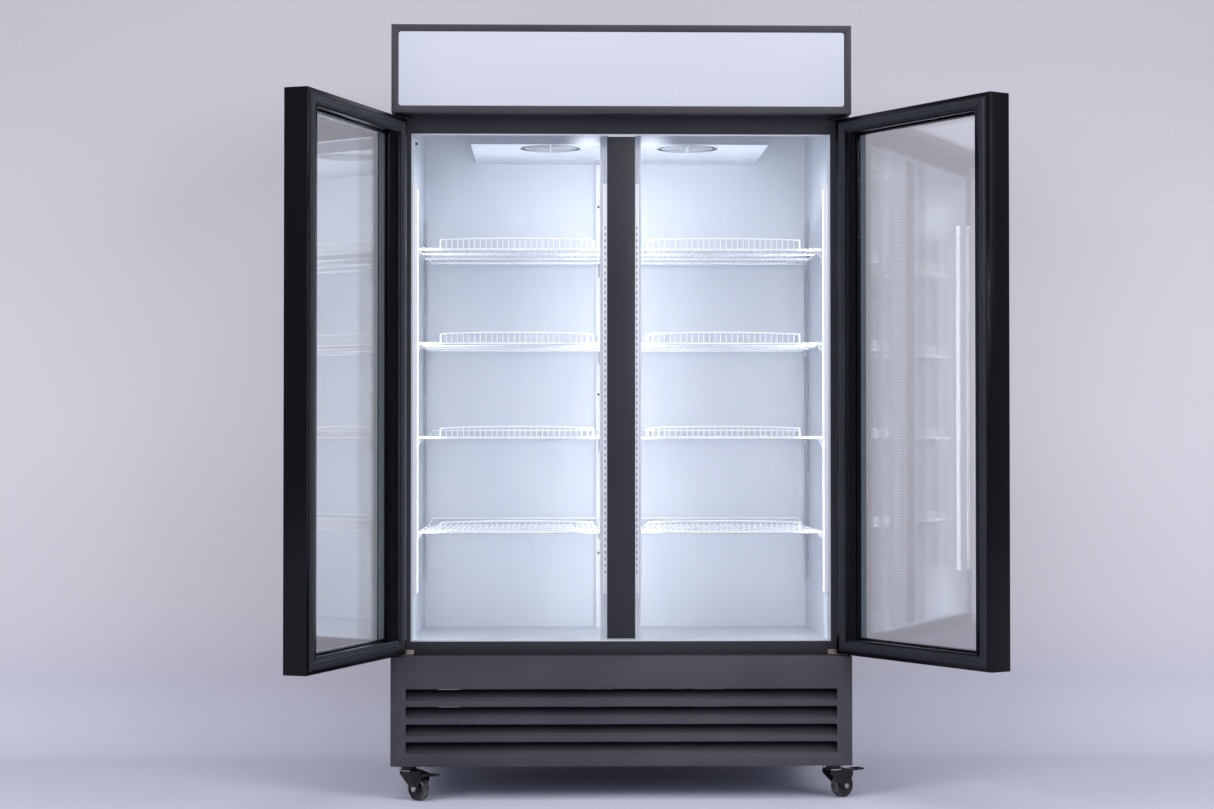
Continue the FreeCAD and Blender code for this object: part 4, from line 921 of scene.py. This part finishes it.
AXLE_NUT_FROM, HUB_R = 0.0176, 0.0262
PEDAL_TOP, PEDAL_REACH = 0.0732, 0.072
fork_black = pressed_black("pressed_black")
hub_black = moulded("hub_nylon", tone(14, 14, 17), tone(28, 28, 32), 0.36)
tread = tread_rubber()
softened("castor_plates", fork_black, 0.0006)
for key in CASTORS:
    swivel = Vector(joints["castor_%s_swivel" % key]["pos_m"])
    roll = joints["wheel_%s_roll" % key]
    axle, axis = Vector(roll["pos_m"]), Vector(roll["axis"])
    softened("castor_fork_" + key, fork_black, 0.0006,
             inner=(zinc_plate, lambda c: abs((c - axle).dot(axis)) > AXLE_NUT_FROM))
    softened("castor_wheel_" + key, hub_black, 0.0007, inner=(
        tread, lambda c: ((c - axle) - axis * (c - axle).dot(axis)).length > HUB_R))
    if key[0] == "f":
        softened("castor_pedal_" + key, fork_black, 0.0007)
        out = (axle - swivel).to_2d().to_3d().normalized()
        rib = new_piece("pedal_ribs_" + key, tube([(0, 0, 0), (0, 0.024, 0)], 0.0011, 6), [])
        turn = Matrix.Rotation(math.atan2(out.y, out.x), 4, "Z")
        row_of.grow(rib, Count=6, Start=(0, -0.012, 0), Step=(0.0045, 0, 0), Finish=fork_black)
        rib.data.transform(Matrix.Translation((swivel.x, swivel.y, PEDAL_TOP)) @ turn
                           @ Matrix.Translation((PEDAL_REACH, 0, 0)))
        smooth(rib.data)
        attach(rib, "pedal_" + key)


# ------------------------------------------------------ switches
# Two red rocker switches in the header's right side, each in a thin black bezel.
# The bezel is a shallow mitred rim that stands round the rocker.

switch_red = moulded("switch_red", tone(168, 20, 24), tone(134, 12, 16), 0.22)
bezel_black = moulded("bezel_black", tone(24, 24, 27), tone(36, 36, 40), 0.4)
for node in ("light_switch", "power_switch"):
    softened(node, switch_red, 0.0007, segments=3)
    centre = joints[node + "_rock"]["pos_m"]
    half_y, half_z = 0.0079, 0.0109
    rim = mitred([(-0.0022, -0.0022, 0), (-0.0022, -0.0022, 0.0008), (-0.0016, -0.0016, 0.0014),
                  (-0.0004, -0.0004, 0.0014), (0, 0, 0.0009), (0, 0, 0)],
                 -half_y, half_y, -half_z, half_z)
    rim.transform(Matrix.Translation((header_high.x, centre[1], centre[2]))
                  @ Matrix.Rotation(-math.pi / 2, 4, "Z"))
    bezel = new_piece(node + "_bezel", rim, [bezel_black])
    smooth(bezel.data)
    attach(bezel, "cabinet")


# ------------------------------------------------------ machinery bay and fans
# Finned aluminium coils, a black enamelled compressor, and moulded fans and pan.
# Roof, rear sheet, base tray and shroud are galvanised, and the insulation is bare foam.

FIN_PITCH = 0.0024
TUBE_PITCH = 0.0265


def bright_fins():
    f = Finish("bright_fins")
    x, _, z = f.axes()
    # The dark bands between the bright fin lines are painted shade in the gaps between fins; the copper tone
    # along the rows is the tubes.
    fin = f.steps(abs((x % FIN_PITCH) - FIN_PITCH / 2), 0.0003, 0.0011)
    row = f.steps(abs((z % TUBE_PITCH) - 0.013), 0.0030, 0.0065)
    dent = f.noise(35.0, 4.0)
    colour = f.blend(fin, tone(120, 124, 130), tone(226, 230, 236))
    colour = f.blend((1 - row) * 0.35, colour, tone(150, 120, 96))
    return f.coat(Base_Color=colour, Metallic=0.75, Roughness=0.3 + (dent - 0.5) * 0.25,
                  Normal=f.bump(fin * 0.6 + dent * 0.4, 0.5, 0.0006))


def galvanised():
    f = Finish("galvanised_sheet")
    cell = f.add("ShaderNodeTexVoronoi", values={"Vector": f.place(), "Scale": 60.0}, out="Color")
    tint = f.add("ShaderNodeSeparateColor", values={0: cell})
    cloud = f.noise(4.0, 3.0)
    return f.coat(Base_Color=f.blend(tint * 0.6 + cloud * 0.4, tone(160, 163, 168), tone(192, 194, 198)),
                  Metallic=0.55, Roughness=0.36 + tint * 0.16, Normal=f.bump(tint + cloud, 0.05, 0.0003))


zinc_sheet = galvanised()
for sheet in ("roof_panel", "base_tray"):
    softened(sheet, zinc_sheet, 0.0004)
wear(zinc_sheet, "back_panel")
softened("condenser_shroud", zinc_sheet, 0.0006)
fins = bright_fins()
wear(fins, "condenser_coil", "evaporator_coil")
coil_low, coil_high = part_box("condenser_coil")
FIN_INSET = 0.014
fin_mesh = bpy.data.meshes.new("fin")
fin_work = bmesh.new()
bmesh.ops.create_cube(fin_work, size=1.0)
fin_work.transform(Matrix.Translation((coil_low.x + FIN_INSET, coil_low.y + 0.0026,
                                       (coil_low.z + coil_high.z) / 2 + 0.004))
                   @ Matrix.Diagonal((0.0003, 0.005, 0.205, 1)))
fin_work.to_mesh(fin_mesh)
fin_work.free()
face_fins = new_piece("condenser_fins", fin_mesh, [])
row_of.grow(face_fins, Count=int((coil_high.x - coil_low.x - 2 * FIN_INSET) / FIN_PITCH),
            Start=(0, 0, 0), Step=(FIN_PITCH, 0, 0), Finish=fins)
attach(face_fins, "cabinet")
softened("compressor", powder_coat("compressor_enamel", tone(24, 24, 26), tone(36, 36, 39), 0.28), 0.001)
black_moulded = moulded("black_moulded", tone(26, 26, 29), tone(40, 40, 44), 0.42)
for node in ("evaporator_fan_left", "evaporator_fan_right", "condenser_fan"):
    softened(node, black_moulded, 0.0005)
for node in ("condensate_pan", "cord_gland"):
    softened(node, black_moulded, 0.0006)
softened("control_box", moulded("grey_moulded", tone(120, 122, 128), tone(104, 106, 112), 0.45), 0.001)


def foam_skin():
    f = Finish("foam_skin")
    cells = f.add("ShaderNodeTexVoronoi", values={"Vector": f.place(), "Scale": 900.0}, out="Distance")
    blotch = f.noise(12.0, 4.0)
    return f.coat(Base_Color=f.blend(blotch, tone(232, 214, 168), tone(206, 184, 132)), Roughness=0.9,
                  Normal=f.bump(cells, 0.4, 0.0006))


wear(foam_skin(), "foam_insulation")


# ------------------------------------------------------ floor, backdrop, lights and camera
# A pale seamless sweep stands close behind the cabinet and shows only from its front.
# Narrow lamps in the cabinet, not seen themselves, give the glow of its light channels.

def sweep_cloth():
    f = Finish("pale_sweep")
    cloud = f.noise(0.7, 3.0)
    behind = f.add("ShaderNodeNewGeometry", out="Backfacing")
    z = f.axes()[2]
    colour = f.blend(f.steps(z, 0.0, 0.5), tone(198, 200, 216), tone(214, 212, 217))
    # Painted shade: the wall darkens towards its top.
    colour = f.blend(f.steps(z, 0.9, 2.4) * 0.85, colour, tone(166, 165, 171))
    colour = f.blend(cloud * 0.3, colour, tone(196, 197, 206))
    shown = f.add("ShaderNodeBsdfPrincipled", values={"Base Color": colour, "Roughness": 0.85,
                                                      "Specular IOR Level": 0.2})
    gone = f.add("ShaderNodeBsdfTransparent")
    both = f.add("ShaderNodeMixShader", values={0: behind, 1: shown, 2: gone})
    f.add("ShaderNodeOutputMaterial", values={"Surface": both})
    return f.material


def sweep_mesh():
    reach, front, wall, bend, top = 7.0, -9.0, 0.66, 0.22, 5.0
    line = [(front, 0.0), (-3.0, 0.0), (wall - bend, 0.0)]
    line += [(wall - bend + bend * math.sin(a), bend - bend * math.cos(a))
             for a in (math.pi / 2 * i / 12 for i in range(1, 13))]
    line.append((wall, top))
    mesh = bpy.data.meshes.new("sweep")
    verts = [(x, y, z) for y, z in line for x in (-reach, reach)]
    faces = [(2 * i, 2 * i + 1, 2 * i + 3, 2 * i + 2) for i in range(len(line) - 1)]
    mesh.from_pydata(verts, [], faces)
    mesh.polygons.foreach_set("use_smooth", [True] * len(faces))
    return mesh


sweep = new_piece("sweep", sweep_mesh(), [sweep_cloth()])


def lamp(name, place, target, width, height, power, colour, seen=True, spread=180):
    data = bpy.data.lights.new(name, "AREA")
    data.shape = "RECTANGLE"
    data.size = width
    data.size_y = height
    data.energy = power
    data.color = colour
    data.spread = math.radians(spread)
    light = bpy.data.objects.new(name, data)
    light.location = place
    light.rotation_euler = (Vector(target) - Vector(place)).to_track_quat("-Z", "Y").to_euler()
    light.visible_camera = False
    light.visible_glossy = seen
    bpy.context.scene.collection.objects.link(light)


lamp("key_left", (-3.4, -4.6, 3.4), (0.2, -0.2, 1.0), 2.6, 2.2, 155, (1.0, 0.98, 1.0), False)
lamp("key_right", (3.6, -4.2, 3.0), (0.0, -0.2, 1.0), 2.4, 2.2, 138, (0.97, 0.97, 1.0))
lamp("overhead", (0.0, -2.4, 4.6), (0.0, -0.4, 0.0), 3.6, 2.6, 90, (0.98, 0.98, 1.0))
cold = (0.93, 0.97, 1.0)
for side, name in SIDES:
    lamp("wall_glow_" + name, (side * 0.538, -0.262, 1.04), (side * 0.44, 0.30, 1.04),
         0.02, 1.3, 1.12, cold, False, 90)
    lamp("post_glow_" + name, (side * 0.075, -0.25, 1.04), (side * 0.13, 0.30, 1.04),
         0.02, 1.45, 0.92, cold, False, 72)
    lamp("duct_glow_" + name, (side * 0.27, -0.06, 1.56), (side * 0.27, 0.04, 1.9),
         0.46, 0.30, 0.8, cold, False)

world = bpy.data.worlds.new("studio")
world.use_nodes = True
world.node_tree.nodes["Background"].inputs["Color"].default_value = (0.80, 0.80, 0.88, 1.0)
world.node_tree.nodes["Background"].inputs["Strength"].default_value = 0.42
bpy.context.scene.world = world
bpy.context.scene.view_settings.view_transform = "Standard"

camera_data = bpy.data.cameras.new("camera")
camera_data.sensor_width = 36.0
camera_data.lens = 68.5
camera = bpy.data.objects.new("camera", camera_data)
camera.location = (-0.1633, header_low.y - 6.109, 0.9497)
camera.rotation_euler = (math.radians(90.909), 0.0, math.radians(-1.165))
bpy.context.scene.collection.objects.link(camera)
bpy.context.scene.camera = camera
